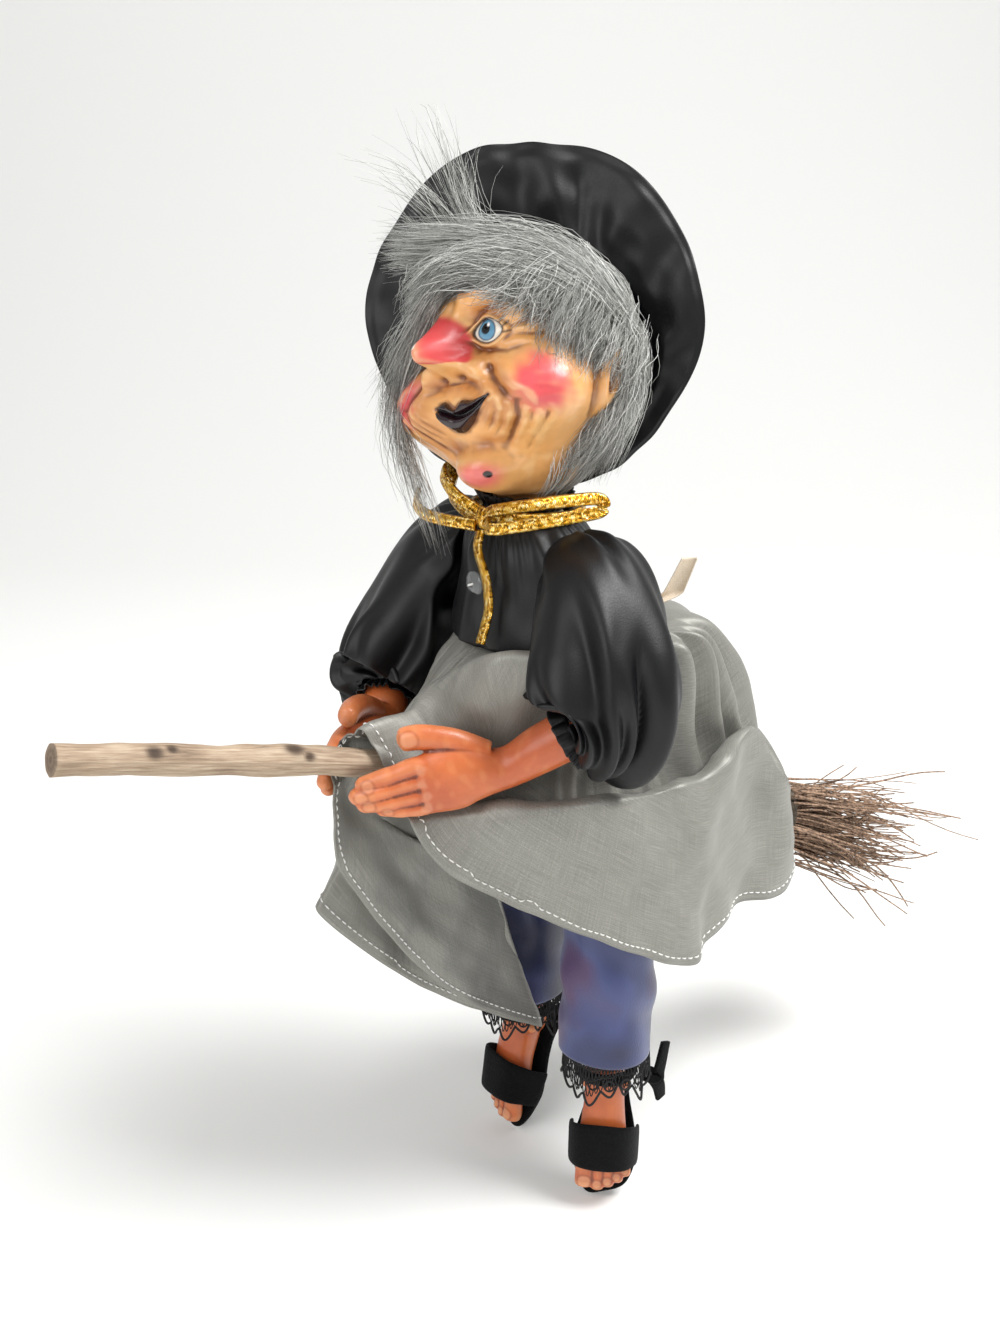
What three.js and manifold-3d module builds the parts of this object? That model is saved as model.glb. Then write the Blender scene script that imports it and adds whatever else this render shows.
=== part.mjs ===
// Kitchen witch: a cloth doll with a moulded head, hands and feet, sitting astride a twig broom.
// Millimetres, +Z up. The doll faces -Y and its left side is +X. The origin lies on the neck axis
// at the height of the collar, where the doll is hung up.
import * as THREE from "three";
import { mergeVertices } from "three/addons/utils/BufferGeometryUtils.js";
import Module from "manifold-3d";

const wasm = await Module();
wasm.setup();

// Clearances and walls
const GAP = 0.4; // between pieces that touch
const SATIN = 1.2; // wall of the blouse, the sleeves and the hat
const TAFFETA = 1.2; // wall of the skirt
const FELT = 1.8; // wall of the sandals
const DRAPE_ROOM = 1.8; // least room between the skirt's cloth and what it lies on

// Torso and blouse
const LEAN = 0.2; // how far the body moves back for each millimetre down
const NECK_R = 11.5;
const SHOULDER_HALF = 29;
const SHOULDER_DEPTH = 20;
const CHEST_HALF = 31;
const CHEST_DEPTH = 23;
const HIP_HALF = 34;
const HIP_DEPTH = 30;
const BLOUSE_EASE = 1.6; // how far the blouse stands off the body
const BLOUSE_TOP = -3;
const BLOUSE_BOTTOM = -60;
const BLOUSE_GATHERS = 15;
const GATHER_DEEP = 0.7; // how far the gathers of the blouse stand out at the neck
const SEAT_SINK = 2; // how deep the stick presses into the seat
const PEG_R = 4;
const PEG_TOP = 40;
const PEG_BOTTOM = -30;
const BODY_TOP = -2;
const COLLAR_TOP = 3.4;
const COLLAR_FLARE = 3.6;
const BUTTON_R = 4.9;
const BUTTON_HIGH = 2.6;
const BUTTON_Z = -28;

// Gold cord, a flat braid
const CORD_WIDE = 4.4;
const CORD_THICK = 2;
const CORD_Z = -2.6;
const KNOT_X = 4; // the knot has slipped towards the doll's left
const KNOT_SIZE = 3.4;

// Broom
const STICK_R = 5.2;
const KNOT_HIGH = 1.2; // how far the knots stand out of the stick
const STICK_FRONT = [0, -176, -58.5];
const STICK_HAND = [0, -76, -82];
const STICK_SEAT = [0, 10, -106];
const STICK_TAIL = [2, 122, -149];
const TWIG_COUNT = 76;
const TWIG_LENGTH = 88;
const TWIG_R = 0.8;
const TWIG_HEAD_R = 14;
const TWIG_SPREAD_R = 26;
const BINDING_LENGTH = 9;
const BINDING_WALL = 1.4;

// Skirt
const WAIST_Z = -44;
const WAIST_SLOPE = 0.13; // rise of the waist towards the back
const WAISTBAND_HIGH = 7;
const WAISTBAND_WALL = 1.6;
const SKIRT_SIDE = 2.6; // how far the skirt stands off the blouse at the sides
const SKIRT_FRONT = 9; // and at the front and back
const HIP_DROP = 7; // height over which the skirt swells out below its band
const SKIRT_GATHERS = 14;
const GATHER_HIGH = 1.2; // how far the gathers of the skirt stand out
const TAG_ANGLE = 138; // degrees from the front, round to the left
const SKIRT_ROUND = 56; // steps round the skirt
const SKIRT_DOWN = 9; // steps from waist to hem

// Arms
const SLEEVE_R = 26;
const SLEEVE_SIDES = 20;
const CUFF_R = 10.6;
const CUFF_IN = 7; // straight length of sleeve behind the cuff
const FRILL_LONG = 5;
const UPPER_ARM_R = 8.1;
const FOREARM_R = 8.6;
const WRIST_R = 7;
const PALM_HALF = 12;
const PALM_THICK = 6.4;
const FINGER_R = 3.3;

// Head, wig and hat
const HEAD_TURN = 10; // degrees towards the doll's left
const HEAD_TOP = 88;
const FACE_ROLL = 13; // degrees that the face is turned in the plane of the face
const FACE_MIDDLE = 45; // height about which it is turned
const FACE_ARC = 30; // millimetres across the face for each radian round the head
const NOSE_LONG = 19;
const NOSE_Z = 54.5;
const WIG_THICK = 7;
const HAT_TURN = 34; // degrees of the brim's face from the head's own front
const HAT_TILT = 5; // degrees that the brim looks up
const HAT_CENTRE = [-18.5, 22.5, 60.5];
const BRIM_R = 61;
const BRIM_WALL = 3;
const HAT_HOLE_R = 36.5;
const HAT_HOLE_OFFSET = [7, -13];
const CROWN_LONG = 92;
const CROWN_DROOP = 26;
const CROWN_TIP_R = 5;

// Legs, feet and sandals
const HIP_X = 28;
const HIP_Y = 20;
const HIP_Z = -101;
const LEG_TOP_R = 15;
const SWING_ROOM = 8; // room round the top of a leg for its swing
const SWING_RISE = 5; // how far above the hip that room begins
const LEGGING_R = 18.5;
const LEG_SIDES = 15; // facets round a leg
const LEGGING_HEM_Z = -213;
const LACE_DROP = 11;
const SHANK_R = 7.6;
const FOOT_LONG = 40;
const FOOT_HALF = 10.5;
const TOE_BAND_WIDE = 18;
const FOOT_PITCH = 66; // degrees that the toes point down
const LEFT_FOOT_TURN = 46; // degrees towards the doll's left
const RIGHT_FOOT_TURN = 0;
const ANKLE_DROP = 19; // from the legging's hem down to the ankle
const ANKLE_Z = LEGGING_HEM_Z - ANKLE_DROP;
const SHANK_LONG = 26; // of the moulded foot above its ankle
const SOLE_WALL = 2.2;

const vec = (x, y, z) => new THREE.Vector3(x, y, z);
const point = (p) => new THREE.Vector3(...p);
const radians = THREE.MathUtils.degToRad;
const mix = THREE.MathUtils.lerp;
const turn = (i, n) => (2 * Math.PI * i) / n;
const range = (n) => Array.from({ length: n }, (_, i) => i);

// A piece of surface from points and triangles, turned so that its faces point outwards.
function surface(points, faces) {
  let volume = 0;
  for (let i = 0; i < faces.length; i += 3) {
    const [a, b, c] = [points[faces[i]], points[faces[i + 1]], points[faces[i + 2]]];
    volume += a.dot(b.clone().cross(c));
  }
  const geometry = new THREE.BufferGeometry().setFromPoints(points);
  geometry.setIndex(volume < 0 ? faces.slice().reverse() : faces);
  return geometry;
}

// A closed surface through rings of equal length. The ends are closed by fans, or the last ring is
// joined to the first one where the rings run round a loop.
function loft(rings, looped = false) {
  const sides = rings[0].length;
  const points = rings.flat();
  const faces = [];
  const bands = looped ? rings.length : rings.length - 1;
  for (let i = 0; i < bands; i += 1) {
    const a = i * sides;
    const b = ((i + 1) % rings.length) * sides;
    for (let j = 0; j < sides; j += 1) {
      const k = (j + 1) % sides;
      faces.push(a + j, a + k, b + k, a + j, b + k, b + j);
    }
  }
  if (!looped) {
    const last = (rings.length - 1) * sides;
    const ends = [rings[0], rings[rings.length - 1]].map((ring) => points.push(middle(ring)) - 1);
    for (let j = 0; j < sides; j += 1) {
      const k = (j + 1) % sides;
      faces.push(ends[0], k, j, ends[1], last + j, last + k);
    }
  }
  return surface(points, faces);
}

const middle = (ring) => ring.reduce((sum, p) => sum.add(p), vec(0, 0, 0)).divideScalar(ring.length);

// Values between the rows [at, value, value, ...] of a profile, on a smooth curve.
function profile(rows, at) {
  let i = rows.findIndex((row) => at <= row[0]);
  if (i < 0) i = rows.length - 1;
  i = Math.max(i, 1);
  const t = THREE.MathUtils.clamp((at - rows[i - 1][0]) / (rows[i][0] - rows[i - 1][0]), 0, 1);
  const slope = (k, c) => {
    const low = rows[Math.max(k - 1, 0)];
    const high = rows[Math.min(k + 1, rows.length - 1)];
    return (high[c] - low[c]) / (high[0] - low[0]);
  };
  const span = rows[i][0] - rows[i - 1][0];
  return rows[i].slice(1).map((end, k) => {
    const start = rows[i - 1][k + 1];
    const curve = (2 * t ** 3 - 3 * t ** 2 + 1) * start + (3 * t ** 2 - 2 * t ** 3) * end;
    const lean = (t ** 3 - 2 * t ** 2 + t) * slope(i - 1, k + 1) + (t ** 3 - t ** 2) * slope(i, k + 1);
    return curve + lean * span;
  });
}

const curveThrough = (points, steps, closed = false) =>
  new THREE.CatmullRomCurve3(points.map(point), closed, "catmullrom", 0.5).getPoints(steps);

const ROUND = (sides) => range(sides).map((i) => [Math.cos(turn(i, sides)), Math.sin(turn(i, sides))]);
const FLAT = [
  [1, 1],
  [-1, 1],
  [-1, -1],
  [1, -1],
];

// Rings of an outline swept along a route. sizeAt gives its half sizes [across, thick], and across is
// the direction in which the first of them lies.
function sweep(route, sizeAt, across, outline, looped = false) {
  const n = route.length;
  return route.map((p, i) => {
    const before = route[looped ? (i + n - 1) % n : Math.max(i - 1, 0)];
    const after = route[looped ? (i + 1) % n : Math.min(i + 1, n - 1)];
    const along = after.clone().sub(before).normalize();
    const wide = (typeof across === "function" ? across(i) : across).clone();
    wide.addScaledVector(along, -wide.dot(along)).normalize();
    const thick = along.clone().cross(wide);
    const [a, b] = sizeAt(n > 1 ? i / (n - 1) : 0);
    return outline.map(([c, s]) => p.clone().addScaledVector(wide, a * c).addScaledVector(thick, b * s));
  });
}

const tube = (route, sizeAt, across, sides) => loft(sweep(route, sizeAt, across, ROUND(sides)));
const ribbon = (route, wide, thick, across) => loft(sweep(route, () => [wide / 2, thick / 2], across, FLAT));
const band = (route, wide, thick, across) =>
  loft(sweep(route, () => [wide / 2, thick / 2], across, FLAT, true), true);

function solid(geometry) {
  const bare = geometry.clone();
  bare.deleteAttribute("normal");
  bare.deleteAttribute("uv");
  const merged = mergeVertices(bare, 1e-4);
  const vertProperties = merged.attributes.position.array;
  const triVerts = new Uint32Array(merged.index.array);
  return new wasm.Manifold(new wasm.Mesh({ numProp: 3, vertProperties, triVerts }));
}

function geometryOf(made) {
  const mesh = made.getMesh();
  const geometry = new THREE.BufferGeometry();
  geometry.setAttribute("position", new THREE.BufferAttribute(mesh.vertProperties, 3));
  geometry.setIndex(new THREE.BufferAttribute(mesh.triVerts, 1));
  return geometry;
}

const join = (...parts) => geometryOf(parts.map(solid).reduce((a, b) => a.add(b)));
const cut = (part, ...tools) => geometryOf(tools.map(solid).reduce((a, b) => a.subtract(b), solid(part)));
const ball = (centre, rx, ry, rz, steps = 16) =>
  new THREE.SphereGeometry(1, steps, steps / 2).scale(rx, ry, rz).translate(...centre);
const upright = (r, bottom, top, sides) =>
  new THREE.CylinderGeometry(r, r, top - bottom, sides)
    .rotateX(Math.PI / 2)
    .translate(0, 0, (top + bottom) / 2);

const finish = (color, roughness, metalness = 0) =>
  new THREE.MeshStandardMaterial({ color, roughness, metalness });
const CALICO = finish("#cdbf9f", 0.9);
const BLACK_SATIN = finish("#121316", 0.4);
const GREY_TAFFETA = finish("#8a8a86", 0.6);
const BLUE_SATIN = finish("#474a6e", 0.5);
const BLACK_LACE = finish("#141416", 0.8);
const BLACK_FELT = finish("#0f1012", 0.95);
const TAN_VINYL = finish("#b9622f", 0.45);
const PAINTED_SKIN = finish("#d8a066", 0.4);
const GREY_FUR = finish("#8c8f92", 0.8);
const GOLD_BRAID = finish("#c9a227", 0.35, 0.8);
const CLEAR_PLASTIC = finish("#d8dadb", 0.1);
const BARE_WOOD = finish("#b59a78", 0.75);
const TWIG_BARK = finish("#6b5342", 0.85);
const BINDING_WIRE = finish("#5a5149", 0.5, 0.6);
const CREAM_TAPE = finish("#e6d9c3", 0.8);

const doll = new THREE.Group();

function add(name, geometry, material, group = doll) {
  const mesh = new THREE.Mesh(geometry, material);
  mesh.name = name;
  group.add(mesh);
}

// Broom stick: its axis runs under the seat and bends down a little towards the twigs.
const stickAxis = curveThrough([STICK_FRONT, STICK_HAND, STICK_SEAT, STICK_TAIL], 24);

function stickHeight(y) {
  const i = Math.max(stickAxis.findIndex((p) => p.y >= y), 1);
  const [a, b] = [stickAxis[i - 1], stickAxis[i]];
  return mix(a.z, b.z, (y - a.y) / (b.y - a.y));
}

// Torso: an oval that leans back from the neck to the seat on the stick.
const bodyY = (z) => -z * LEAN;
const SEAT_Y = bodyY(HIP_Z);
const SEAT_Z = stickHeight(SEAT_Y) + STICK_R - SEAT_SINK;
const TORSO_ROWS = [
  [SEAT_Z, 13, 15],
  [SEAT_Z + 10, 27, 25],
  [SEAT_Z + 24, HIP_HALF, HIP_DEPTH],
  [-58, 32, 26],
  [-40, CHEST_HALF, CHEST_DEPTH],
  [-20, SHOULDER_HALF, SHOULDER_DEPTH],
  [-9, 22, 16],
  [BODY_TOP, NECK_R, NECK_R],
];

function bodyRing(z, grow, sides, wave = () => 0) {
  const [rx, ry] = profile(TORSO_ROWS, z);
  return range(sides).map((i) => {
    const angle = turn(i, sides);
    const out = grow + wave(angle);
    return vec((rx + out) * Math.cos(angle), bodyY(z) + (ry + out) * Math.sin(angle), z);
  });
}

const BLOUSE_OUT = GAP + BLOUSE_EASE + SATIN;
const steps = (from, to, n) => range(n + 1).map((i) => mix(from, to, i / n));

function makeBody() {
  const socketR = LEG_TOP_R + 2 * GAP;
  const mouthR = socketR + SWING_ROOM;
  const deep = SWING_RISE + SWING_ROOM;
  const below = new THREE.CylinderGeometry(socketR, mouthR, deep, 18).rotateX(Math.PI / 2);
  const sockets = [-1, 1].flatMap((side) => [
    ball([side * HIP_X, HIP_Y, HIP_Z], socketR, socketR, socketR, 18),
    below.clone().translate(side * HIP_X, HIP_Y, HIP_Z + SWING_RISE - deep / 2),
  ]);
  const stuffed = loft(steps(SEAT_Z, BODY_TOP, 9).map((z) => bodyRing(z, 0, 16)));
  const bore = upright(PEG_R + GAP, PEG_BOTTOM, BODY_TOP + 1, 12);
  const seat = stickAxis.filter((p) => Math.abs(p.y - SEAT_Y) < HIP_DEPTH + HIP_HALF);
  const groove = tube(seat, () => [STICK_R + 2 * GAP, STICK_R + 2 * GAP], vec(1, 0, 0), 12);
  add("torso", cut(stuffed, ...sockets, bore, groove), CALICO);
  add("neck_peg", upright(PEG_R, PEG_BOTTOM + GAP, PEG_TOP, 12), BARE_WOOD);

  const fade = (z) => GATHER_DEEP * Math.exp((z - BLOUSE_TOP) / 14);
  const gather = (z) => (angle) => fade(z) * Math.cos(BLOUSE_GATHERS * angle);
  const heights = steps(BLOUSE_BOTTOM, BLOUSE_TOP, 5);
  const sides = 2 * BLOUSE_GATHERS; // a ridge and a hollow for each gather
  const outer = heights.map((z) => bodyRing(z, BLOUSE_OUT, sides, gather(z)));
  const inner = heights.map((z) => bodyRing(z, BLOUSE_OUT - SATIN, sides, gather(z)));
  add("blouse", loft([...outer, ...inner.reverse()], true), BLACK_SATIN);

  // Collar: the gathered edge stands up round the neck of the head.
  const collarFoot = BLOUSE_TOP + GAP;
  const collarRing = (z, r, deep) =>
    range(sides).map((i) => {
      const angle = turn(i, sides);
      const out = r + deep * Math.cos(BLOUSE_GATHERS * angle);
      return vec(out * Math.cos(angle), out * Math.sin(angle), z);
    });
  const collarR = NECK_R + GAP + 0.8;
  const collar = [
    collarRing(collarFoot, collarR + SATIN, 0.1),
    collarRing(COLLAR_TOP, collarR + COLLAR_FLARE + SATIN, 0.6),
    collarRing(COLLAR_TOP, collarR + COLLAR_FLARE, 0.6),
    collarRing(collarFoot, collarR, 0.1),
  ];
  add("collar", loft(collar, true), BLACK_SATIN);

  const front = bodyY(BUTTON_Z) - profile(TORSO_ROWS, BUTTON_Z)[1] - BLOUSE_OUT - GAP;
  const dome = [
    [0, 0],
    [BUTTON_R * 0.9, 0],
    [BUTTON_R, BUTTON_HIGH * 0.35],
    [BUTTON_R * 0.8, BUTTON_HIGH * 0.7],
    [BUTTON_R * 0.55, BUTTON_HIGH * 0.75],
    [BUTTON_R * 0.3, BUTTON_HIGH],
    [0, BUTTON_HIGH],
  ].map(([r, h]) => new THREE.Vector2(r, h));
  const button = new THREE.LatheGeometry(dome, 16).rotateX(Math.PI).translate(0, front, BUTTON_Z);
  add("button", button, CLEAR_PLASTIC);
}

// Gold cord: a ring round the collar, tied in a bow at the front.
const cordLow = bodyRing(CORD_Z - CORD_WIDE / 2, BLOUSE_OUT + GATHER_DEEP + GAP + CORD_THICK / 2, 30);
const cordRing = cordLow.map((p) => vec(p.x, p.y, CORD_Z));
const cordFront = Math.min(...cordRing.map((p) => p.y));
const KNOT_Y = cordFront - CORD_THICK / 2 - GAP - KNOT_SIZE / 2;
const KNOT = [KNOT_X, KNOT_Y, CORD_Z];
const LOOP_GAP = KNOT_SIZE / 2 + GAP;

const LEFT_LOOP = [
  [KNOT_X + LOOP_GAP, KNOT_Y, CORD_Z + 1.4],
  [14, KNOT_Y - 2, 1.5],
  [26, KNOT_Y + 4, 4.5],
  [37, KNOT_Y + 13, 7],
  [43, KNOT_Y + 20, 7.5],
  [44.5, KNOT_Y + 19.5, 4],
  [38, KNOT_Y + 11.5, 1.5],
  [27, KNOT_Y + 1.5, -1.8],
  [15, KNOT_Y - 4, -4.6],
  [KNOT_X + LOOP_GAP + 0.4, KNOT_Y - 0.2, CORD_Z - 1.8],
];
const RIGHT_LOOP = [
  [KNOT_X - LOOP_GAP, KNOT_Y, CORD_Z + 1.4],
  [-8, KNOT_Y - 3, 3],
  [-19, KNOT_Y - 1, 7.5],
  [-25, KNOT_Y + 4, 9.5],
  [-27, KNOT_Y + 9, 5.5],
  [-21, KNOT_Y + 3.5, 1.5],
  [-10, KNOT_Y + 0.4, -1.8],
  [KNOT_X - LOOP_GAP, KNOT_Y + 0.8, CORD_Z - 2],
];
const SHORT_TAIL = [
  [KNOT_X - LOOP_GAP, KNOT_Y - 1.6, CORD_Z - 3.2],
  [-10, KNOT_Y - 5, -6],
  [-23, KNOT_Y - 6, -6],
  [-33, KNOT_Y - 4, -4],
  [-38, KNOT_Y, -1],
];
const LONG_TAIL = [
  [KNOT_X - 0.6, KNOT_Y - 0.6, CORD_Z - CORD_WIDE * 0.65 - 2],
  [KNOT_X + 0.5, KNOT_Y - 2.5, -14],
  [6.4, KNOT_Y - 4, -24],
  [9, KNOT_Y - 5, -33],
  [11, KNOT_Y - 6, -39],
  [12, KNOT_Y - 7.5, -45],
];

function makeBow() {
  const round = vec(0, 0, 1);
  add("neck_cord", band(cordRing, CORD_WIDE, CORD_THICK, round), GOLD_BRAID);
  add("bow_knot", ball(KNOT, KNOT_SIZE / 2, KNOT_SIZE / 2, CORD_WIDE * 0.65, 10), GOLD_BRAID);
  const flat = (route, across, n) => {
    const size = () => [CORD_WIDE / 2, CORD_THICK / 2];
    return tube(curveThrough(route, n), size, across, 6);
  };
  add("bow_loop_left", flat(LEFT_LOOP, vec(0, 0.35, 1), 18), GOLD_BRAID);
  add("bow_loop_right", flat(RIGHT_LOOP, vec(0, 0.35, 1), 17), GOLD_BRAID);
  add("bow_tail_short", flat(SHORT_TAIL, vec(0, 0.2, 1), 10), GOLD_BRAID);
  add("bow_tail_long", flat(LONG_TAIL, vec(1, 0, 0), 14), GOLD_BRAID);
}

// Arms: the sleeve puffs out from the shoulder and is drawn in at the cuff; the moulded forearm and
// hand come out of the cuff and lie along the stick.
const LEFT_ARM = {
  name: "left",
  side: 1,
  sleeve: [
    [24, 3, -13],
    [40, 0, -26],
    [50, -4, -46],
    [50, -13, -68],
  ],
  wrist: [34, -32, -83],
  tip: [11, -80, -92],
};
const RIGHT_ARM = {
  name: "right",
  side: -1,
  sleeve: [
    [-23, 1, -11],
    [-41, -2, -30],
    [-51, -11, -58],
    [-50, -29, -82],
  ],
  wrist: [-42, -37, -87],
  tip: [-14, -77, -93],
};
const SLEEVE_ROWS = [
  [0, 0.36],
  [0.12, 0.62],
  [0.35, 0.88],
  [0.6, 1.02],
  [0.8, 0.88],
  [1, CUFF_R / SLEEVE_R],
];

// Moves a point sideways out of the blouse and the top of the skirt, so that a sleeve lies flat on them.
function clearOfClothes(p, side, room) {
  const z = THREE.MathUtils.clamp(p.z, BLOUSE_BOTTOM - 20, BLOUSE_TOP);
  const skirt = THREE.MathUtils.smoothstep(-z, -WAIST_Z - 18, -WAIST_Z - 4);
  const stands = [SKIRT_SIDE, SKIRT_FRONT].map((stand) => skirt * (stand + 2 * GATHER_HIGH));
  const [rx, ry] = profile(TORSO_ROWS, z).map((r, k) => r + BLOUSE_OUT + GATHER_DEEP + stands[k]);
  const across = 1 - ((p.y - bodyY(z)) / (ry + room)) ** 2;
  const limit = across > 0 ? (rx + room) * Math.sqrt(across) : 0;
  if (p.x * side < limit) p.x = limit * side;
  return p;
}

// The sleeve's middle line, which ends in line with the forearm.
function sleeveRoute(arm, count) {
  const cuff = point(arm.sleeve[3]);
  const back = cuff.clone().sub(point(arm.wrist)).setLength(CUFF_IN);
  return curveThrough([...arm.sleeve.slice(0, 3), cuff.clone().add(back).toArray(), arm.sleeve[3]], count);
}

function sleeveRings(arm, wall, sides, count) {
  const route = sleeveRoute(arm, count);
  const ahead = point(arm.wrist).sub(route[count]).setLength(SLEEVE_R).add(route[count]);
  const folds = (t, angle) => 1 + 0.05 * t * Math.cos(7 * angle + 2) + 0.03 * Math.cos(4 * angle + 5 * t);
  const rings = sweep([...route, ahead], () => [1, 1], vec(0, 1, 0), ROUND(sides));
  return rings.slice(0, -1).map((ring, i) => {
    const t = i / count;
    const r = profile(SLEEVE_ROWS, t)[0] * SLEEVE_R - wall;
    return ring.map((p, j) => {
      const out = p.sub(route[i]).multiplyScalar(r * folds(t, turn(j, sides)));
      return clearOfClothes(out.add(route[i]), arm.side, 2 * GAP + wall);
    });
  });
}

// The hand's own directions: forward along the fingers, up to the thumb, out from the palm.
function handFrame(arm) {
  const wrist = point(arm.wrist);
  const forward = point(arm.tip).sub(wrist).normalize();
  const up = vec(0, 0, 1).addScaledVector(forward, -forward.z).normalize();
  const out = up.clone().cross(forward).multiplyScalar(arm.side).normalize();
  const at = (f, u, o) =>
    wrist.clone().addScaledVector(forward, f).addScaledVector(up, u).addScaledVector(out, -o);
  return { wrist, forward, up, out, at };
}

// Each finger as [root up, tip forward, tip up, thickness].
const FINGERS = [
  [7.6, 51, 4.4, 1],
  [2.6, 54, 0.6, 1.04],
  [-2.6, 52, -3, 1],
  [-7.4, 46, -6.4, 0.86],
];
const KNUCKLE = 27;
const FINGER_IN = 2; // how far the fingers bend towards the stick

function makeHand(arm) {
  const { at, up } = handFrame(arm);
  const cuff = point(arm.sleeve[3]);
  const wrist = point(arm.wrist);
  const inside = cuff.clone().add(cuff.clone().sub(wrist).setLength(CUFF_IN));
  const limb = [inside, cuff, cuff.clone().lerp(wrist, 0.5), wrist, at(15, 1, 0), at(KNUCKLE + 3, 0, 0)];
  const sizes = [
    [0, FOREARM_R * 0.8, FOREARM_R * 0.8],
    [0.18, FOREARM_R, FOREARM_R],
    [0.4, FOREARM_R * 0.96, FOREARM_R * 0.94],
    [0.62, WRIST_R * 1.06, WRIST_R],
    [0.82, PALM_HALF, PALM_THICK],
    [1, PALM_HALF * 0.88, PALM_THICK * 0.66],
  ];
  const route = new THREE.CatmullRomCurve3(limb).getPoints(10);
  const pieces = [tube(route, (t) => profile(sizes, t), up, 12)];
  for (const [rootUp, tipAlong, tipUp, thick] of FINGERS) {
    const line = [
      at(KNUCKLE - 5, rootUp * 0.9, 0.4),
      at(mix(KNUCKLE, tipAlong, 0.5), mix(rootUp, tipUp, 0.4), 0),
      at(tipAlong - 2, tipUp, FINGER_IN),
      at(tipAlong, tipUp, FINGER_IN + 0.6),
    ];
    const r = FINGER_R * thick;
    const taper = [
      [0, r, r],
      [0.5, r, r],
      [0.8, r * 0.82, r * 0.82],
      [1, r * 0.42, r * 0.42],
    ];
    pieces.push(tube(line, (t) => profile(taper, t), up, 6));
  }
  const thumb = [at(6, 6, 1), at(16, 13, 1), at(26, 16.5, 2.4), at(32, 16.8, 3.4), at(34, 16.8, 3.8)];
  const thumbRows = [
    [0, 5, 4.6],
    [0.5, 4.6, 4],
    [0.8, 3.9, 3.4],
    [1, 1.9, 1.7],
  ];
  pieces.push(tube(thumb, (t) => profile(thumbRows, t), up, 7));
  return join(...pieces);
}

function makeArm(arm) {
  const { name, side } = arm;
  const count = 9;
  const outer = sleeveRings(arm, 0, SLEEVE_SIDES, count);
  const inner = sleeveRings(arm, SATIN, SLEEVE_SIDES, count);
  const inside = inner.slice(1).reverse();
  add(`${name}_sleeve`, loft([...outer, ...inside]), BLACK_SATIN);

  const cuff = point(arm.sleeve[3]);
  const along = point(arm.wrist).sub(cuff).normalize();
  const frillRing = (s, r, deep) => {
    const route = [cuff.clone().addScaledVector(along, s), cuff.clone().addScaledVector(along, s + 1)];
    const wave = ROUND(24).map(([c, sn], j) => {
      const out = 1 + deep * Math.cos(8 * turn(j, 24));
      return [c * out, sn * out];
    });
    return sweep(route, () => [r, r], vec(0, 0, 1), wave)[0];
  };
  const frillIn = FOREARM_R + 1;
  const start = 3 * GAP;
  const frill = [
    frillRing(start, frillIn + SATIN, 0),
    frillRing(start + FRILL_LONG, frillIn + SATIN + 1.6, 0.07),
    frillRing(start + FRILL_LONG, frillIn + 1.6, 0.07),
    frillRing(start, frillIn, 0),
  ];
  add(`${name}_cuff_frill`, loft(frill, true), BLACK_SATIN);

  // Upper arm: stuffed, from the armhole seam to above the elbow.
  const middleRoute = sleeveRoute(arm, 10).slice(2, 7);
  const armRows = [
    [0, 0.6],
    [0.2, 1],
    [0.8, 0.95],
    [1, 0.55],
  ];
  const armSize = (t) => Array(2).fill(UPPER_ARM_R * profile(armRows, t)[0]);
  const rings = sweep(middleRoute, armSize, vec(0, 1, 0), ROUND(12));
  const room = 5 * GAP + SATIN;
  const seated = rings.map((ring) => ring.map((p) => clearOfClothes(p, side, room)));
  add(`${name}_upper_arm`, loft(seated), CALICO);
  add(`${name}_forearm`, makeHand(arm), TAN_VINYL);
}

// Skirt: gathered into the waistband, lifted over the stick in front, caught up by the left hand in a
// deep sagging fold, laid over the twigs behind and folded between the legs. Each row is a line down
// the cloth: its angle at the waist from the front round to the left, then a point where the cloth is
// drawn in, one on the crest of the fold below it, and one at the hem.
const SKIRT_LINES = [
  [0, [0, -46, -66], [0, -60, -69], [0, -71, -73]],
  [22, [12, -43, -80], [12, -55, -86], [10, -64, -88]],
  [50, [20, -30, -88], [29, -38, -101], [27, -53, -119]],
  [82, [36, -4, -92], [54, -8, -100], [46, -10, -147]],
  [115, [43, 32, -88], [58, 31, -98], [51, 42, -172]],
  [148, [38, 78, -85], [43, 97, -118], [38, 106, -163]],
  [180, [0, 86, -76], [0, 110, -100], [0, 129, -128]],
  [212, [-38, 78, -85], [-43, 97, -118], [-38, 106, -163]],
  [255, [-44, 26, -85], [-54, 32, -125], [-54, 36, -172]],
  [290, [-30, -18, -90], [-48, -34, -126], [-47, -40, -166]],
  [314, [-13, -34, -88], [-21, -60, -118], [-20, -79, -146]],
  [326, [-10, -41, -88], [-13, -40, -126], [-13, -36, -190]],
  [335, [-9, -47, -88], [-5, -12, -138], [-1, 9, -216]],
  [344, [-9, -54, -88], [-6, -46, -120], [1, -38, -181]],
  [352, [-8, -62, -86], [-8, -71, -98], [-3, -78, -120]],
];

const waistHeight = (y) => WAIST_Z + WAIST_SLOPE * y;

function waistPoint(angle, grow, drop) {
  const a = radians(angle) - Math.PI / 2;
  const [rx, ry] = profile(TORSO_ROWS, WAIST_Z).map((r) => r + BLOUSE_OUT + grow);
  const y = bodyY(WAIST_Z) + ry * Math.sin(a);
  return vec(rx * Math.cos(a), y, waistHeight(y) - drop);
}

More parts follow.
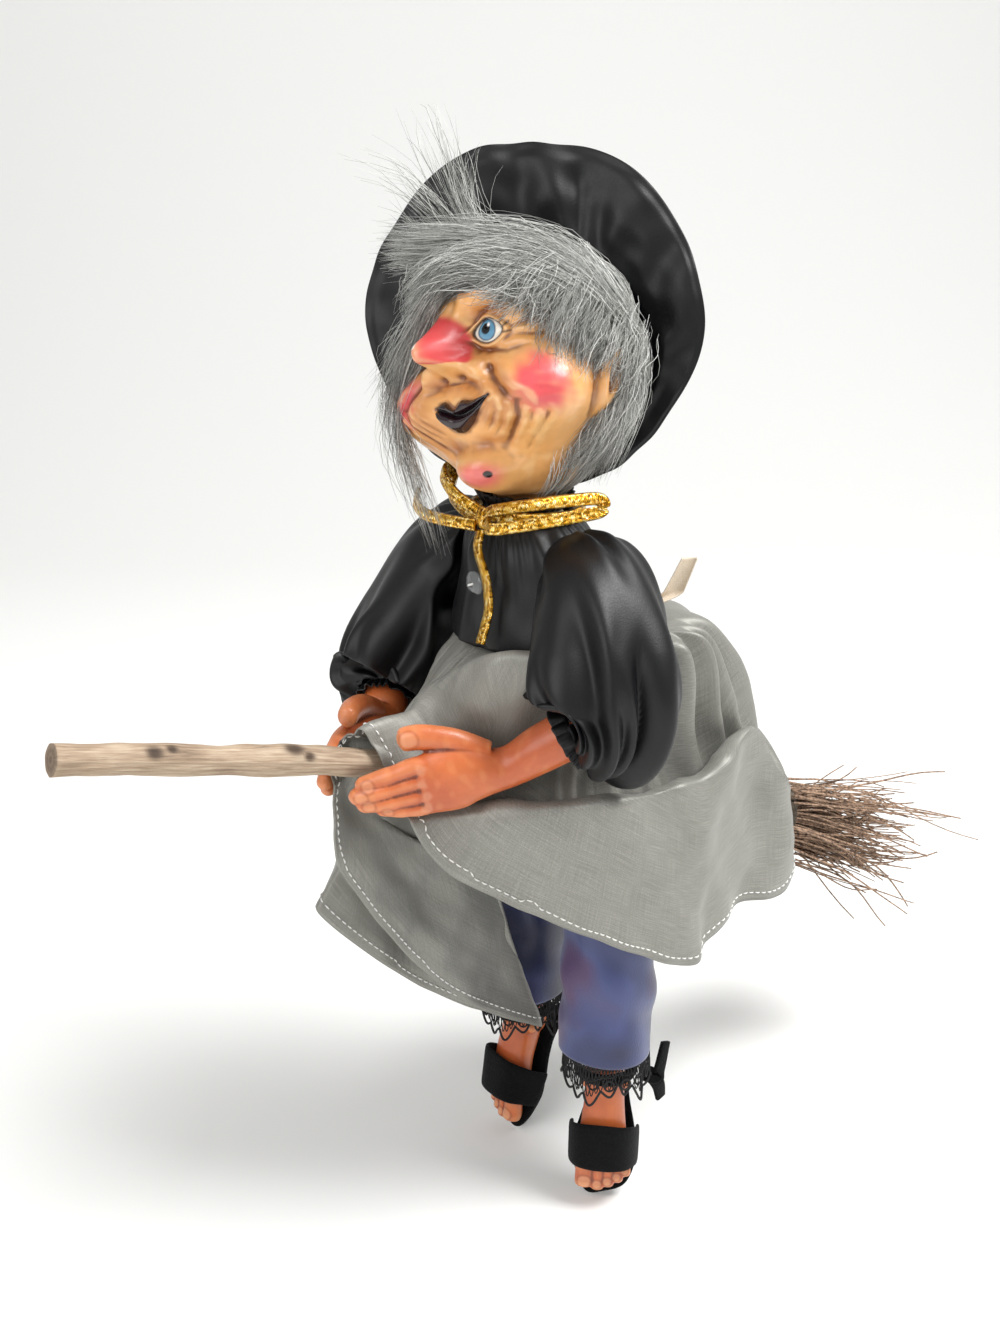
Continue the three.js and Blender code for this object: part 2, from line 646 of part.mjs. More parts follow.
// What the skirt lies on, as round bars: [start, end, radius].
function bars() {
  const list = [];
  for (let i = 0; i + 3 < stickAxis.length; i += 3) {
    list.push([stickAxis[i], stickAxis[i + 3], STICK_R + KNOT_HIGH + GAP]);
  }
  for (const arm of [LEFT_ARM, RIGHT_ARM]) {
    const { at } = handFrame(arm);
    const cuff = point(arm.sleeve[3]);
    const above = cuff.clone().sub(point(arm.wrist)).setLength(2 * CUFF_IN).add(cuff);
    list.push([above, cuff, CUFF_R + 1.4]);
    list.push([cuff, point(arm.wrist), FOREARM_R + 1]);
    list.push([point(arm.wrist), at(46, 0, 0), PALM_THICK + 1]);
    list.push([at(8, 8, 0), at(44, 5, 0), PALM_THICK]);
    list.push([at(12, 14, 1), at(33, 17, 3), 5]);
    list.push([at(12, -7, 0), at(44, -6, 0), PALM_THICK - 1]);
  }
  return list;
}

function pushedOut(p, list, room) {
  const near = vec(0, 0, 0);
  for (const [a, b, r] of list) {
    new THREE.Line3(a, b).closestPointToPoint(p, true, near);
    const away = p.clone().sub(near);
    const short = r + room - away.length();
    if (short > 0) p.addScaledVector(away.normalize(), short);
  }
  return p;
}

// The angle at the waist of the line at share t of the way round.
function skirtAngle(t) {
  const at = t * SKIRT_LINES.length;
  const i = Math.floor(at);
  const next = i + 1 < SKIRT_LINES.length ? SKIRT_LINES[i + 1][0] : 360;
  return mix(SKIRT_LINES[i][0], next, at - i);
}

// The middle of the skirt's cloth as rows of points, from the waist down to the hem.
function skirtSheet(round, down) {
  const rows = [1, 2, 3].map((k) => SKIRT_LINES.map((line) => point(line[k])));
  const hoops = rows.map((row) => new THREE.CatmullRomCurve3(row, true, "catmullrom", 0.5));
  const obstacles = bars();
  const sheet = range(down + 1).map(() => []);
  for (let i = 0; i < round; i += 1) {
    const t = i / round;
    const angle = skirtAngle(t);
    const stand = mix(SKIRT_SIDE, SKIRT_FRONT, Math.cos(radians(angle)) ** 2);
    const lines = hoops.map((hoop) => hoop.getPoint(t));
    const top = waistPoint(angle, TAFFETA, WAISTBAND_HIGH / 2 + 2 * GAP);
    const hip = waistPoint(angle, stand, WAISTBAND_HIGH / 2 + HIP_DROP).lerp(lines[0], 0.14);
    const fall = new THREE.CatmullRomCurve3([top, hip, ...lines], false, "centripetal");
    for (let j = 0; j <= down; j += 1) {
      const p = fall.getPoint(j / down);
      const fade = Math.sin(Math.min(j / down, 0.5) * 2 * Math.PI);
      const gather = GATHER_HIGH * fade * (1 + Math.cos(SKIRT_GATHERS * turn(i, round)));
      p.add(vec(p.x, p.y - bodyY(p.z), 0).setLength(gather));
      sheet[j].push(j === 0 ? p : pushedOut(p, obstacles, DRAPE_ROOM + TAFFETA / 2));
    }
  }
  return sheet;
}

// The two faces of a sheet of the given wall, each as rows of points.
function thickened(sheet, wall) {
  const rows = sheet.length;
  const n = sheet[0].length;
  const face = (sign) =>
    sheet.map((row, j) =>
      row.map((p, i) => {
        const round = row[(i + 1) % n].clone().sub(row[(i + n - 1) % n]);
        const down = sheet[Math.min(j + 1, rows - 1)][i].clone().sub(sheet[Math.max(j - 1, 0)][i]);
        return p.clone().addScaledVector(round.cross(down).normalize(), (sign * wall) / 2);
      }),
    );
  return [face(1), face(-1)];
}

function makeSkirt() {
  const bandOut = GAP + GATHER_DEEP + WAISTBAND_WALL / 2;
  const bandRoute = range(30).map((i) => waistPoint((360 * i) / 30, bandOut, 0));
  add("waistband", band(bandRoute, WAISTBAND_HIGH, WAISTBAND_WALL, vec(0, 0, 1)), GREY_TAFFETA);
  const [outer, inner] = thickened(skirtSheet(SKIRT_ROUND, SKIRT_DOWN), TAFFETA);
  add("skirt", loft([...outer, ...inner.reverse()], true), GREY_TAFFETA);

  // Care tag, sewn in at the left of the back.
  const seam = waistPoint(TAG_ANGLE, bandOut + WAISTBAND_WALL / 2 + 2 * GAP, 0);
  const tag = [seam, seam.clone().add(vec(2.5, 3, 8)), seam.clone().add(vec(6, 7, 18))];
  add("care_tag", ribbon(tag, 9, 0.8, vec(0.8, -0.6, 0)), CREAM_TAPE);
}

// Broom: a cut branch with knots, a bundle of twigs and the wire that binds them.
const KNOTS = [0.13, 0.32, 0.58];

// A three-sided twig: root ring, middle ring and tip.
const TWIG_FACES = [0, 1, 2].flatMap((j) => {
  const k = (j + 1) % 3;
  return [j, k, 3 + k, j, 3 + k, 3 + j, 3 + j, 3 + k, 6];
});
TWIG_FACES.push(2, 1, 0);

function makeBroom() {
  const bumps = (t) => KNOTS.reduce((sum, k) => sum + Math.exp(-(((t - k) / 0.02) ** 2)), 0);
  const thick = (t) => Array(2).fill(STICK_R * (0.97 + 0.03 * Math.sin(9 * t)) + bumps(t) * KNOT_HIGH);
  add("broom_handle", tube(stickAxis, thick, vec(1, 0, 0), 10), BARE_WOOD);

  const root = stickAxis[stickAxis.length - 1];
  const along = root.clone().sub(stickAxis[stickAxis.length - 4]).normalize();
  const across = vec(1, 0, 0).addScaledVector(along, -along.x).normalize();
  const up = across.clone().cross(along).normalize();
  const at = (s, a, b) =>
    root.clone().addScaledVector(along, s).addScaledVector(across, a).addScaledVector(up, b);
  const slice = (s, r) => ROUND(18).map(([c, sn]) => at(s, r * c, r * sn));
  const backing = loft([slice(GAP, TWIG_HEAD_R), slice(BINDING_LENGTH, TWIG_HEAD_R)]);
  const golden = Math.PI * (3 - Math.sqrt(5));
  const twigs = range(TWIG_COUNT).map((i) => {
    const share = Math.sqrt((i + 0.5) / TWIG_COUNT);
    const angle = i * golden;
    const spread = (r, s) => at(s, r * share * Math.cos(angle), r * share * Math.sin(angle) * 0.9);
    const long = TWIG_LENGTH * (0.72 + 0.28 * Math.abs(Math.sin(12.9 * i)));
    const line = [
      spread(TWIG_HEAD_R * 0.9, BINDING_LENGTH - 2),
      spread(mix(TWIG_HEAD_R, TWIG_SPREAD_R, 0.42), BINDING_LENGTH + long * 0.5),
      spread(TWIG_SPREAD_R, BINDING_LENGTH + long),
    ];
    const rings = sweep(line, () => [TWIG_R, TWIG_R], across, ROUND(3));
    return surface([...rings[0], ...rings[1], line[2]], TWIG_FACES);
  });
  add("broom_twigs", join(backing, ...twigs), TWIG_BARK);
  const wall = TWIG_HEAD_R + GAP;
  const sleeve = [
    slice(GAP, wall + BINDING_WALL),
    slice(BINDING_LENGTH, wall + BINDING_WALL),
    slice(BINDING_LENGTH, wall),
    slice(GAP, wall),
  ];
  add("broom_binding", loft(sleeve, true), BINDING_WIRE);
}

// Head: rings round the neck axis. Each row is a height with the half width, the front and the back.
const HEAD_BOTTOM = -1;
const HEAD_ROWS = [
  [HEAD_BOTTOM, NECK_R, NECK_R, NECK_R],
  [4, 12, 12.4, 12],
  [8, 17.5, 21, 15],
  [14, 23, 25.5, 19],
  [22, 27, 28, 24],
  [32, 30, 29, 29],
  [44, 32, 30, 33],
  [56, 33, 30, 35],
  [68, 32, 30.5, 34],
  [78, 27, 27, 29],
  [85, 16, 15.5, 17.5],
  [HEAD_TOP, 3, 3, 3],
];
// Nose: at each height, its share of the full length and its half width.
const NOSE_ROWS = [
  [NOSE_Z - 11, 0, 10],
  [NOSE_Z - 8, 0.3, 9.5],
  [NOSE_Z - 4, 0.74, 8],
  [NOSE_Z, 1, 4.8],
  [NOSE_Z + 4.5, 0.62, 4.6],
  [NOSE_Z + 10, 0.22, 4.6],
  [NOSE_Z + 17.5, 0, 6],
];
// Swellings and hollows of the face: [out, distance from its middle line, spread, height, spread,
// fullness], where a fuller one is rounder on top and steeper at its edge.
const FACE_FORMS = [
  [6.5, 0, 14, 35, 10.5, 2.2],
  [14, 25.5, 15.5, 36.5, 14.5, 2.8],
  [10.5, 0, 11, 13, 8.5, 2.2],
  [1.6, 10, 8, 70, 3.5, 2],
  [-3, 12, 7, 62, 5, 2],
];
// Ears, by their angle from the front: [out, angle, spread, height, spread].
const EAR = [5, 97, 7, 46, 8];

function headRadius(angle, z) {
  const [half, front, back] = profile(HEAD_ROWS, z);
  const deep = Math.cos(angle) > 0 ? front : back;
  return 1 / Math.hypot(Math.sin(angle) / half, Math.cos(angle) / deep);
}

const swell = (a, wide, b, high, full = 2) => Math.exp(-(Math.hypot(a / wide, b / high) ** full));

function faceRadius(angle, z) {
  const [c, s] = [Math.cos(radians(FACE_ROLL)), Math.sin(radians(FACE_ROLL))];
  const across = FACE_ARC * angle;
  const above = z - FACE_MIDDLE;
  const aside = Math.abs(across * c + above * s);
  const height = FACE_MIDDLE + above * c - across * s;
  const [long, wide] = profile(NOSE_ROWS, height);
  let out = NOSE_LONG * long * Math.exp(-((aside / wide) ** 1.6));
  for (const [rise, u, du, v, dv, full] of FACE_FORMS) {
    out += rise * swell(aside - u, du, height - v, dv, full);
  }
  const degrees = Math.abs(THREE.MathUtils.radToDeg(angle));
  const front = 1 - THREE.MathUtils.smoothstep(degrees, 85, 118);
  const [lobe, earAngle, earWide, earZ, earHigh] = EAR;
  const ear = lobe * swell(degrees - earAngle, earWide, z - earZ, earHigh);
  return headRadius(angle, z) + front * out + ear;
}

// Points of a ring at the given height, closer together at the face than at the back.
function headRing(z, radiusAt, sides) {
  return range(sides).map((i) => {
    const t = (2 * (i + 0.5)) / sides - 1;
    const angle = Math.PI * (0.38 * t + 0.62 * t ** 3);
    const r = radiusAt(angle, z);
    return vec(r * Math.sin(angle), -r * Math.cos(angle), z);
  });
}

// Thickness of the wig over the head, below zero where the face is bare.
function wigThickness(angle, z) {
  const degrees = Math.abs(THREE.MathUtils.radToDeg(angle));
  const side = THREE.MathUtils.smoothstep(degrees, 58, 76);
  const top = THREE.MathUtils.smoothstep(z, 71, 79);
  const back = THREE.MathUtils.smoothstep(degrees, 120, 150);
  return mix(-6, WIG_THICK - 2.5 * back, Math.max(side, top));
}

const WIG_BOTTOM = 12;
const HEAD_ROUND = 31; // steps round the head
const HEAD_UP = 24; // steps from the neck to the top

function makeHead(group) {
  const rings = (from, to, n, radiusAt, sides) =>
    steps(from, to, n).map((z) => headRing(z, radiusAt, sides));
  const face = loft(rings(HEAD_BOTTOM, HEAD_TOP, HEAD_UP, faceRadius, HEAD_ROUND));
  const bore = upright(PEG_R + GAP, HEAD_BOTTOM - 1, PEG_TOP + GAP, 12);
  add("head", cut(face, bore), PAINTED_SKIN, group);

  const grown = (angle, z) => faceRadius(angle, z) + 2 * GAP;
  const scalp = loft(rings(HEAD_BOTTOM, HEAD_TOP + 0.01, HEAD_UP, grown, HEAD_ROUND));
  const hair = (angle, z) => {
    const skull = headRadius(angle, Math.min(z, HEAD_TOP - 4));
    return (skull + wigThickness(angle, z)) * wigDome(z);
  };
  const fur = loft(rings(WIG_BOTTOM, HEAD_TOP + WIG_THICK - 1.5, 12, hair, 20));
  const hat = hatFrame();
  hat.updateMatrix();
  const pressed = [brimSolid(GAP), crownSolid(GAP)].map((part) => part.applyMatrix4(hat.matrix));
  add("wig", cut(fur, scalp, ...pressed), GREY_FUR, group);
}

// How the wig closes over the top of the head.
function wigDome(z) {
  const top = HEAD_TOP + WIG_THICK - 1.2;
  const start = 70;
  if (z < start) return 1;
  return Math.sqrt(Math.max(1 - ((z - start) / (top - start)) ** 2, 0.004));
}

// The hat's own frame: its brim lies in the XY plane and looks along +Z.
function hatFrame() {
  const hat = new THREE.Group();
  hat.position.set(...HAT_CENTRE);
  hat.rotation.set(radians(90 - HAT_TILT), 0, radians(HAT_TURN), "ZXY");
  return hat;
}

function brimSolid(grow) {
  const [dx, dy] = HAT_HOLE_OFFSET;
  const half = BRIM_WALL / 2 + grow;
  const section = [
    [0, half],
    [0.55, half],
    [0.94, half * 0.84],
    [1, 0],
    [0.94, -half * 0.84],
    [0.55, -half],
    [0, -half],
  ];
  const wave = (angle) => 2.6 * Math.cos(2 * angle + 0.6) + 1.2 * Math.cos(5 * angle + 1);
  const brimRing = (angle) => {
    const [c, s] = [Math.cos(angle), Math.sin(angle)];
    const rim = BRIM_R * (1 + 0.012 * Math.cos(6 * angle + 0.4));
    const hole = HAT_HOLE_R - grow;
    return section.map(([t, h]) => {
      const x = mix(dx + hole * c, rim * c, t);
      const y = mix(dy + hole * s, rim * s, t);
      return vec(x, y, h + wave(angle) * t);
    });
  };
  return loft(range(36).map((i) => brimRing(turn(i, 36))), true);
}

// Crown: a soft cone behind the brim that droops towards its tip.
function crownSolid(grow) {
  const [dx, dy] = HAT_HOLE_OFFSET;
  const crownRing = (t, wall) => {
    const r = mix(HAT_HOLE_R + SATIN, CROWN_TIP_R, t ** 1.15) - wall;
    const crush = (angle) => 1 + 0.05 * Math.sin(3 * angle + 9 * t) * Math.sin(Math.PI * t);
    const z = -BRIM_WALL / 2 - 2 * GAP - CROWN_LONG * t;
    return range(18).map((i) => {
      const angle = turn(i, 18);
      const out = r * crush(angle);
      return vec(dx + out * Math.cos(angle), dy + out * Math.sin(angle) - CROWN_DROOP * t * t, z);
    });
  };
  const stations = steps(0, 1, 6);
  const outer = stations.map((t) => crownRing(t, -grow)).reverse();
  const inner = stations.slice(0, -1).map((t) => crownRing(t, SATIN + grow));
  return loft([...outer, ...inner]);
}

function makeHat(group) {
  const hat = hatFrame();
  group.add(hat);
  add("hat_brim", brimSolid(0), BLACK_SATIN, hat);
  add("hat_crown", crownSolid(0), BLACK_SATIN, hat);
}

// Legs: a stuffed leg in a satin legging that hangs from the hip, with lace at its hem.
function legRows(wall) {
  const top = LEG_TOP_R - wall;
  const full = LEGGING_R - wall;
  return [
    [0, full * 0.99],
    [0.3, full],
    [0.62, full * 0.98],
    [0.86, mix(top, full, 0.5)],
    [1, top],
  ];
}

function legRings(side, wall, bottom) {
  const rings = [];
  for (const z of steps(bottom, HIP_Z, 6)) {
    const r = profile(legRows(wall), (z - LEGGING_HEM_Z) / (HIP_Z - LEGGING_HEM_Z))[0];
    rings.push(ROUND(LEG_SIDES).map(([c, s]) => vec(side * HIP_X + r * c, HIP_Y + r * s, z)));
  }
  const top = LEG_TOP_R - wall;
  for (const angle of [30, 55, 78].map(radians)) {
    const r = top * Math.cos(angle);
    const z = HIP_Z + top * Math.sin(angle);
    rings.push(ROUND(LEG_SIDES).map(([c, s]) => vec(side * HIP_X + r * c, HIP_Y + r * s, z)));
  }
  return rings;
}

// Foot, in its own frame: the ankle at the origin, the toes to -Y and the sole below.
const TOES = [
  [-6.4, 0, 3.9],
  [-1.4, -1, 2.7],
  [2.6, 0.4, 2.6],
  [6.2, 2.4, 2.5],
  [9.2, 5, 2.3],
];

function footFrame(side) {
  const foot = new THREE.Group();
  foot.position.set(side * HIP_X, HIP_Y, ANKLE_Z);
  const yaw = side > 0 ? LEFT_FOOT_TURN : RIGHT_FOOT_TURN;
  foot.rotation.set(radians(FOOT_PITCH), 0, radians(yaw), "ZXY");
  return foot;
}

function footSolid(side, shankTop) {
  const pitch = radians(FOOT_PITCH);
  const shank = vec(0, Math.sin(pitch), Math.cos(pitch));
  const ankle = vec(0, 0, 0);
  const route = [
    ankle.clone().addScaledVector(shank, shankTop),
    ankle.clone().addScaledVector(shank, shankTop / 2),
    ankle,
    vec(0, -11, -1.6),
    vec(0, -22, -4),
    vec(0, -FOOT_LONG * 0.78, -5.6),
  ];
  const rows = [
    [0, SHANK_R, SHANK_R],
    [0.25, SHANK_R, SHANK_R],
    [0.45, SHANK_R * 1.02, SHANK_R * 1.1],
    [0.65, FOOT_HALF * 0.84, 7.4],
    [0.85, FOOT_HALF, 6],
    [1, FOOT_HALF * 0.9, 3.6],
  ];
  const spine = new THREE.CatmullRomCurve3(route).getPoints(8);
  const pieces = [tube(spine, (t) => profile(rows, t), vec(1, 0, 0), 10)];
  pieces.push(ball([0, 4.5, -4.6], 6.2, 6.4, 6, 8));
  const toeRoot = -FOOT_LONG * 0.66;
  for (const [x, back, r] of TOES) {
    const line = [
      vec(side * x * 0.9, toeRoot, -5.4),
      vec(side * x, -FOOT_LONG + back + 6, -6),
      vec(side * x, -FOOT_LONG + back + 1.6, -6.6),
      vec(side * x, -FOOT_LONG + back, -6.8),
    ];
    const taper = [
      [0, r * 0.9],
      [0.6, r],
      [0.9, r * 0.8],
      [1, r * 0.45],
    ];
    pieces.push(tube(line, (t) => Array(2).fill(profile(taper, t)[0]), vec(1, 0, 0), 6));
  }
  return join(...pieces);
}

function makeLeg(side, name) {
  const hem = LEGGING_HEM_Z;
  const outer = legRings(side, 0, hem).reverse();
  const inner = legRings(side, SATIN, hem);
  add(`${name}_legging`, loft([...outer, ...inner]), BLUE_SATIN);

  const shankTop = ANKLE_Z + SHANK_LONG;
  const coreRings = [];
  const coreRows = [
    [0, SHANK_R + 2.4],
    [0.5, LEG_TOP_R - SATIN - 3],
    [1, LEG_TOP_R - SATIN - GAP],
  ];
  for (const z of steps(shankTop + GAP, HIP_Z, 5)) {
    const r = profile(coreRows, (z - shankTop) / (HIP_Z - shankTop))[0];
    coreRings.push(ROUND(14).map(([c, s]) => vec(side * HIP_X + r * c, HIP_Y + r * s, z)));
  }
  add(`${name}_leg_core`, loft(coreRings), CALICO);

  const laceOut = (LEGGING_R * 0.99 - SATIN) * Math.cos(Math.PI / LEG_SIDES) - GAP;
  const laceRing = (r, z, dip) =>
    range(24).map((i) => {
      const angle = turn(i, 24);
      const scallop = dip * Math.abs(Math.sin(6 * angle));
      return vec(side * HIP_X + r * Math.cos(angle), HIP_Y + r * Math.sin(angle), z - scallop);
    });
  const lace = [
    laceRing(laceOut, hem + 4, 0),
    laceRing(laceOut + 0.2, hem - LACE_DROP + 3, 3),
    laceRing(laceOut - 0.8, hem - LACE_DROP + 3, 3),
    laceRing(laceOut - 1, hem + 4, 0),
  ];
  add(`${name}_lace`, loft(lace, true), BLACK_LACE);
  makeFoot(side, name, shankTop);
}

function makeFoot(side, name, shankTop) {
  const foot = footFrame(side);
  doll.add(foot);
  add(`${name}_foot`, footSolid(side, shankTop - ANKLE_Z), TAN_VINYL, foot);

  // Sandal: a felt sole, a band over the toes, a strap up the instep and one tied round the ankle.
  const soleTop = -11 - GAP;
  const outline = [
    [0, 11],
    [8, 7],
    [9, -4],
    [FOOT_HALF + 2.6, -FOOT_LONG * 0.62],
    [10, -FOOT_LONG + 2],
    [2, -FOOT_LONG - 2.4],
    [-7, -FOOT_LONG - 2.4],
    [-FOOT_HALF - 2, -FOOT_LONG * 0.66],
    [-8, -6],
    [-7.6, 7],
  ].map(([x, y]) => new THREE.Vector2(side * x, y));
  const edge = new THREE.SplineCurve([...outline, outline[0]]).getPoints(28).slice(0, -1);
  const soleRing = (z) => edge.map((p) => vec(p.x, p.y, z));
  add(`${name}_sandal_sole`, loft([soleRing(soleTop), soleRing(soleTop - SOLE_WALL)]), BLACK_FELT, foot);

  const bandHalf = FOOT_HALF + 2 * GAP + FELT;
  const bandHigh = 17;
  const arch = range(13).map((i) => {
    const angle = (Math.PI * i) / 12;
    const across = Math.sign(Math.cos(angle)) * Math.abs(Math.cos(angle)) ** 0.55;
    return vec(bandHalf * across, -FOOT_LONG * 0.57, soleTop + GAP + bandHigh * Math.sin(angle));
  });
  const toeBand = ribbon(arch, TOE_BAND_WIDE, FELT, vec(0, 1, 0.3));
  add(`${name}_toe_band`, toeBand, BLACK_FELT, foot);

  const pitch = radians(FOOT_PITCH);
  const shank = vec(0, Math.sin(pitch), Math.cos(pitch));
  const level = shank.clone().cross(vec(1, 0, 0));
  const strapR = SHANK_R + GAP + FELT / 2 + 2;
  const strapAt = 10;
  const strapRoute = range(18).map((i) => {
    const angle = turn(i, 18);
    const out = vec(1, 0, 0).multiplyScalar(strapR * Math.cos(angle));
    return out.addScaledVector(level, strapR * Math.sin(angle)).addScaledVector(shank, strapAt);
  });
  add(`${name}_ankle_strap`, band(strapRoute, 5, FELT, shank), BLACK_FELT, foot);

  // The tie's two ears come out under the lace: one hangs down, one turns up outside it.
  const tied = (out, up, round) => {
    const p = vec(side * (strapR + FELT + 0.5 + out), 0, 0);
    return p.addScaledVector(shank, strapAt - 2 + up).addScaledVector(level, round);
  };
  const hanging = [tied(0, 0, 0), tied(4, -2, 2), tied(7, -8, 5), tied(8, -15, 7)];
  const outside = LEGGING_R - strapR;
  const raised = [tied(0, -1, 0), tied(6, -3, 2), tied(outside, -1, 4), tied(outside + 2, 10, 7)];
  const ears = [hanging, raised].map((route) => ribbon(route, 4.6, FELT, level));
  add(`${name}_ankle_tie`, join(...ears), BLACK_FELT, foot);
}

makeBody();
makeBow();
makeArm(LEFT_ARM);
makeArm(RIGHT_ARM);
makeSkirt();
makeBroom();
const headGroup = new THREE.Group();
headGroup.rotation.z = radians(HEAD_TURN);
doll.add(headGroup);
makeHead(headGroup);
makeHat(headGroup);
makeLeg(1, "left");
makeLeg(-1, "right");

export default doll;
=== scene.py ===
"""Looks of the kitchen witch: a hanging cloth doll with a moulded head, astride a twig broom."""

import math

import bmesh
import bpy
import numpy as np
from mathutils import Matrix, Vector


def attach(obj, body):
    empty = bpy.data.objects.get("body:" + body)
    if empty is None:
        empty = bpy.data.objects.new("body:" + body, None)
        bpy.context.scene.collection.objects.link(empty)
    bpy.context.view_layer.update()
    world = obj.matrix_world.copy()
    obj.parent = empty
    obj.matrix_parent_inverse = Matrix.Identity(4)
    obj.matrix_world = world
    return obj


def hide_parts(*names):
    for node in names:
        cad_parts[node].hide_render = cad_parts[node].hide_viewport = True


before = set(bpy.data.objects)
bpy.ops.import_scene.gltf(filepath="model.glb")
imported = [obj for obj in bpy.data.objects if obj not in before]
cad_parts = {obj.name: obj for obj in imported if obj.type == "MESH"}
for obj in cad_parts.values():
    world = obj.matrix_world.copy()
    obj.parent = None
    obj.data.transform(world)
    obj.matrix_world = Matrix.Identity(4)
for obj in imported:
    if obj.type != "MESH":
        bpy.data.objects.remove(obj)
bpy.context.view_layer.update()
bpy.ops.object.select_all(action="DESELECT")

MM = 0.001
SCENE = bpy.context.scene
SCENE.view_settings.view_transform = "Standard"


# Small tools


def linear(code):
    """An sRGB hex colour as linear red, green, blue and alpha."""
    parts = [int(code[i : i + 2], 16) / 255 for i in (1, 3, 5)]
    return tuple(c / 12.92 if c <= 0.04045 else ((c + 0.055) / 1.055) ** 2.4 for c in parts) + (1.0,)


def put(finish, kind, inputs=None, stops=(), to=None, out=0, **settings):
    """Adds a node with its settings, input values, links and colour stops, led to a shader socket."""
    tree = finish.node_tree
    node = tree.nodes.new("ShaderNode" + kind)
    for k, (place, code) in enumerate(stops):
        mark = node.color_ramp.elements[k] if k < 2 else node.color_ramp.elements.new(place)
        mark.position = place
        mark.color = linear(code)
    for name, value in settings.items():
        setattr(node, name, value)
    for name, value in (inputs or {}).items():
        if isinstance(value, bpy.types.NodeSocket):
            tree.links.new(value, node.inputs[name])
        else:
            node.inputs[name].default_value = value
    if to:
        tree.links.new(node.outputs[out], tree.nodes["Principled BSDF"].inputs[to])
    return node


def unit(v):
    """Directions of length 1."""
    return v / np.maximum(np.linalg.norm(v, axis=-1, keepdims=True), 1e-9)


def smooth(x, low, high):
    """Nought up to low, rising smoothly to 1 at high."""
    t = np.clip((x - low) / (high - low), 0, 1)
    return t * t * (3 - 2 * t)


def fade(x, low, high):
    """One up to low, falling smoothly to nought at high."""
    return 1 - smooth(x, low, high)


def bell(x, power=2):
    """One at nought, falling away with distance; a higher power makes its top flatter."""
    return np.exp(-(x**power))


def spokes(count):
    """Even angles round a circle."""
    return 2 * np.pi * np.arange(count) / count


def profile(rows, at):
    """Values between the rows (at, value, ...) of a profile, on a smooth curve."""
    rows = np.asarray(rows, float)
    at = np.asarray(at, float)
    x = rows[:, 0]
    low = np.maximum(np.arange(len(x)) - 1, 0)
    high = np.minimum(np.arange(len(x)) + 1, len(x) - 1)
    i = np.clip(np.searchsorted(x, at), 1, len(x) - 1)
    span = x[i] - x[i - 1]
    t = np.clip((at - x[i - 1]) / span, 0, 1)
    values = []
    for y in rows[:, 1:].T:
        lean = (y[high] - y[low]) / (x[high] - x[low])
        first = (2 * t**3 - 3 * t**2 + 1) * y[i - 1] + (t**3 - 2 * t**2 + t) * lean[i - 1] * span
        values.append(first + (3 * t**2 - 2 * t**3) * y[i] + (t**3 - t**2) * lean[i] * span)
    return values


def curve(points, count, closed=False):
    """A smooth line through points: count + 1 places on it, or count where it is closed."""
    p = np.asarray(points, float)
    n = len(p)
    t = np.linspace(0, n if closed else n - 1, count + (0 if closed else 1), endpoint=not closed)
    i = np.minimum(t.astype(int), n - 1 if closed else n - 2)
    f = (t - i)[:, None]

    def at(k):
        if closed:
            return p[k % n]
        q = p[np.clip(k, 0, n - 1)].copy()
        q[k < 0] = 2 * p[0] - p[1]
        q[k > n - 1] = 2 * p[-1] - p[-2]
        return q

    a, b, c, d = at(i - 1), at(i), at(i + 1), at(i + 2)
    first = (2 * f**3 - 3 * f**2 + 1) * b + (f**3 - 2 * f**2 + f) * (c - a) / 2
    return first + (3 * f**2 - 2 * f**3) * c + (f**3 - f**2) * (d - b) / 2


def directions(route, across, closed=False):
    """Along, across and upwards directions at each point of a route."""
    if closed:
        along = unit(np.roll(route, -1, 0) - np.roll(route, 1, 0))
    else:
        along = unit(np.gradient(route, axis=0))
    wide = np.broadcast_to(np.asarray(across, float), route.shape)
    wide = unit(wide - along * (wide * along).sum(-1, keepdims=True))
    return along, wide, np.cross(along, wide)


def sweep(route, wide_half, thick_half, across, sides, closed=False, corner=1.0):
    """Rings of an oval swept along a route; a corner below 1 squares the oval."""
    angle = spokes(sides)
    c = np.sign(np.cos(angle)) * np.abs(np.cos(angle)) ** corner
    s = np.sign(np.sin(angle)) * np.abs(np.sin(angle)) ** corner
    _, wide, up = directions(route, across, closed)
    a = np.broadcast_to(np.asarray(wide_half, float), len(route))[:, None, None]
    b = np.broadcast_to(np.asarray(thick_half, float), len(route))[:, None, None]
    return route[:, None] + a * wide[:, None] * c[:, None] + b * up[:, None] * s[:, None]


def ripple(p, size, seed, waves=7):
    """Soft seeded unevenness of about the given size."""
    rng = np.random.default_rng(seed)
    ways = unit(rng.normal(size=(waves, 3))) * rng.uniform(0.6, 1.4, (waves, 1)) * 2 * np.pi / size
    return np.sin(p @ ways.T + rng.uniform(0, 2 * np.pi, waves)).sum(-1) / math.sqrt(waves)


def grid(rows, cols, wrap):
    """Four-sided faces of a grid of points, and their corners in a grid with one more column."""
    i, j = np.meshgrid(np.arange(rows - 1), np.arange(cols if wrap else cols - 1), indexing="ij")
    k = (j + 1) % cols
    faces = np.stack([i * cols + j, i * cols + k, (i + 1) * cols + k, (i + 1) * cols + j], -1)
    w = cols + 1
    corners = np.stack([i * w + j, i * w + j + 1, (i + 1) * w + j + 1, (i + 1) * w + j], -1)
    return faces.reshape(-1, 4), corners.reshape(-1, 4)


def lengths(points):
    """The distance run along each row of points."""
    step = np.linalg.norm(np.diff(points, axis=-2), axis=-1)
    return np.concatenate([np.zeros_like(step[..., :1]), np.cumsum(step, -1)], -1)


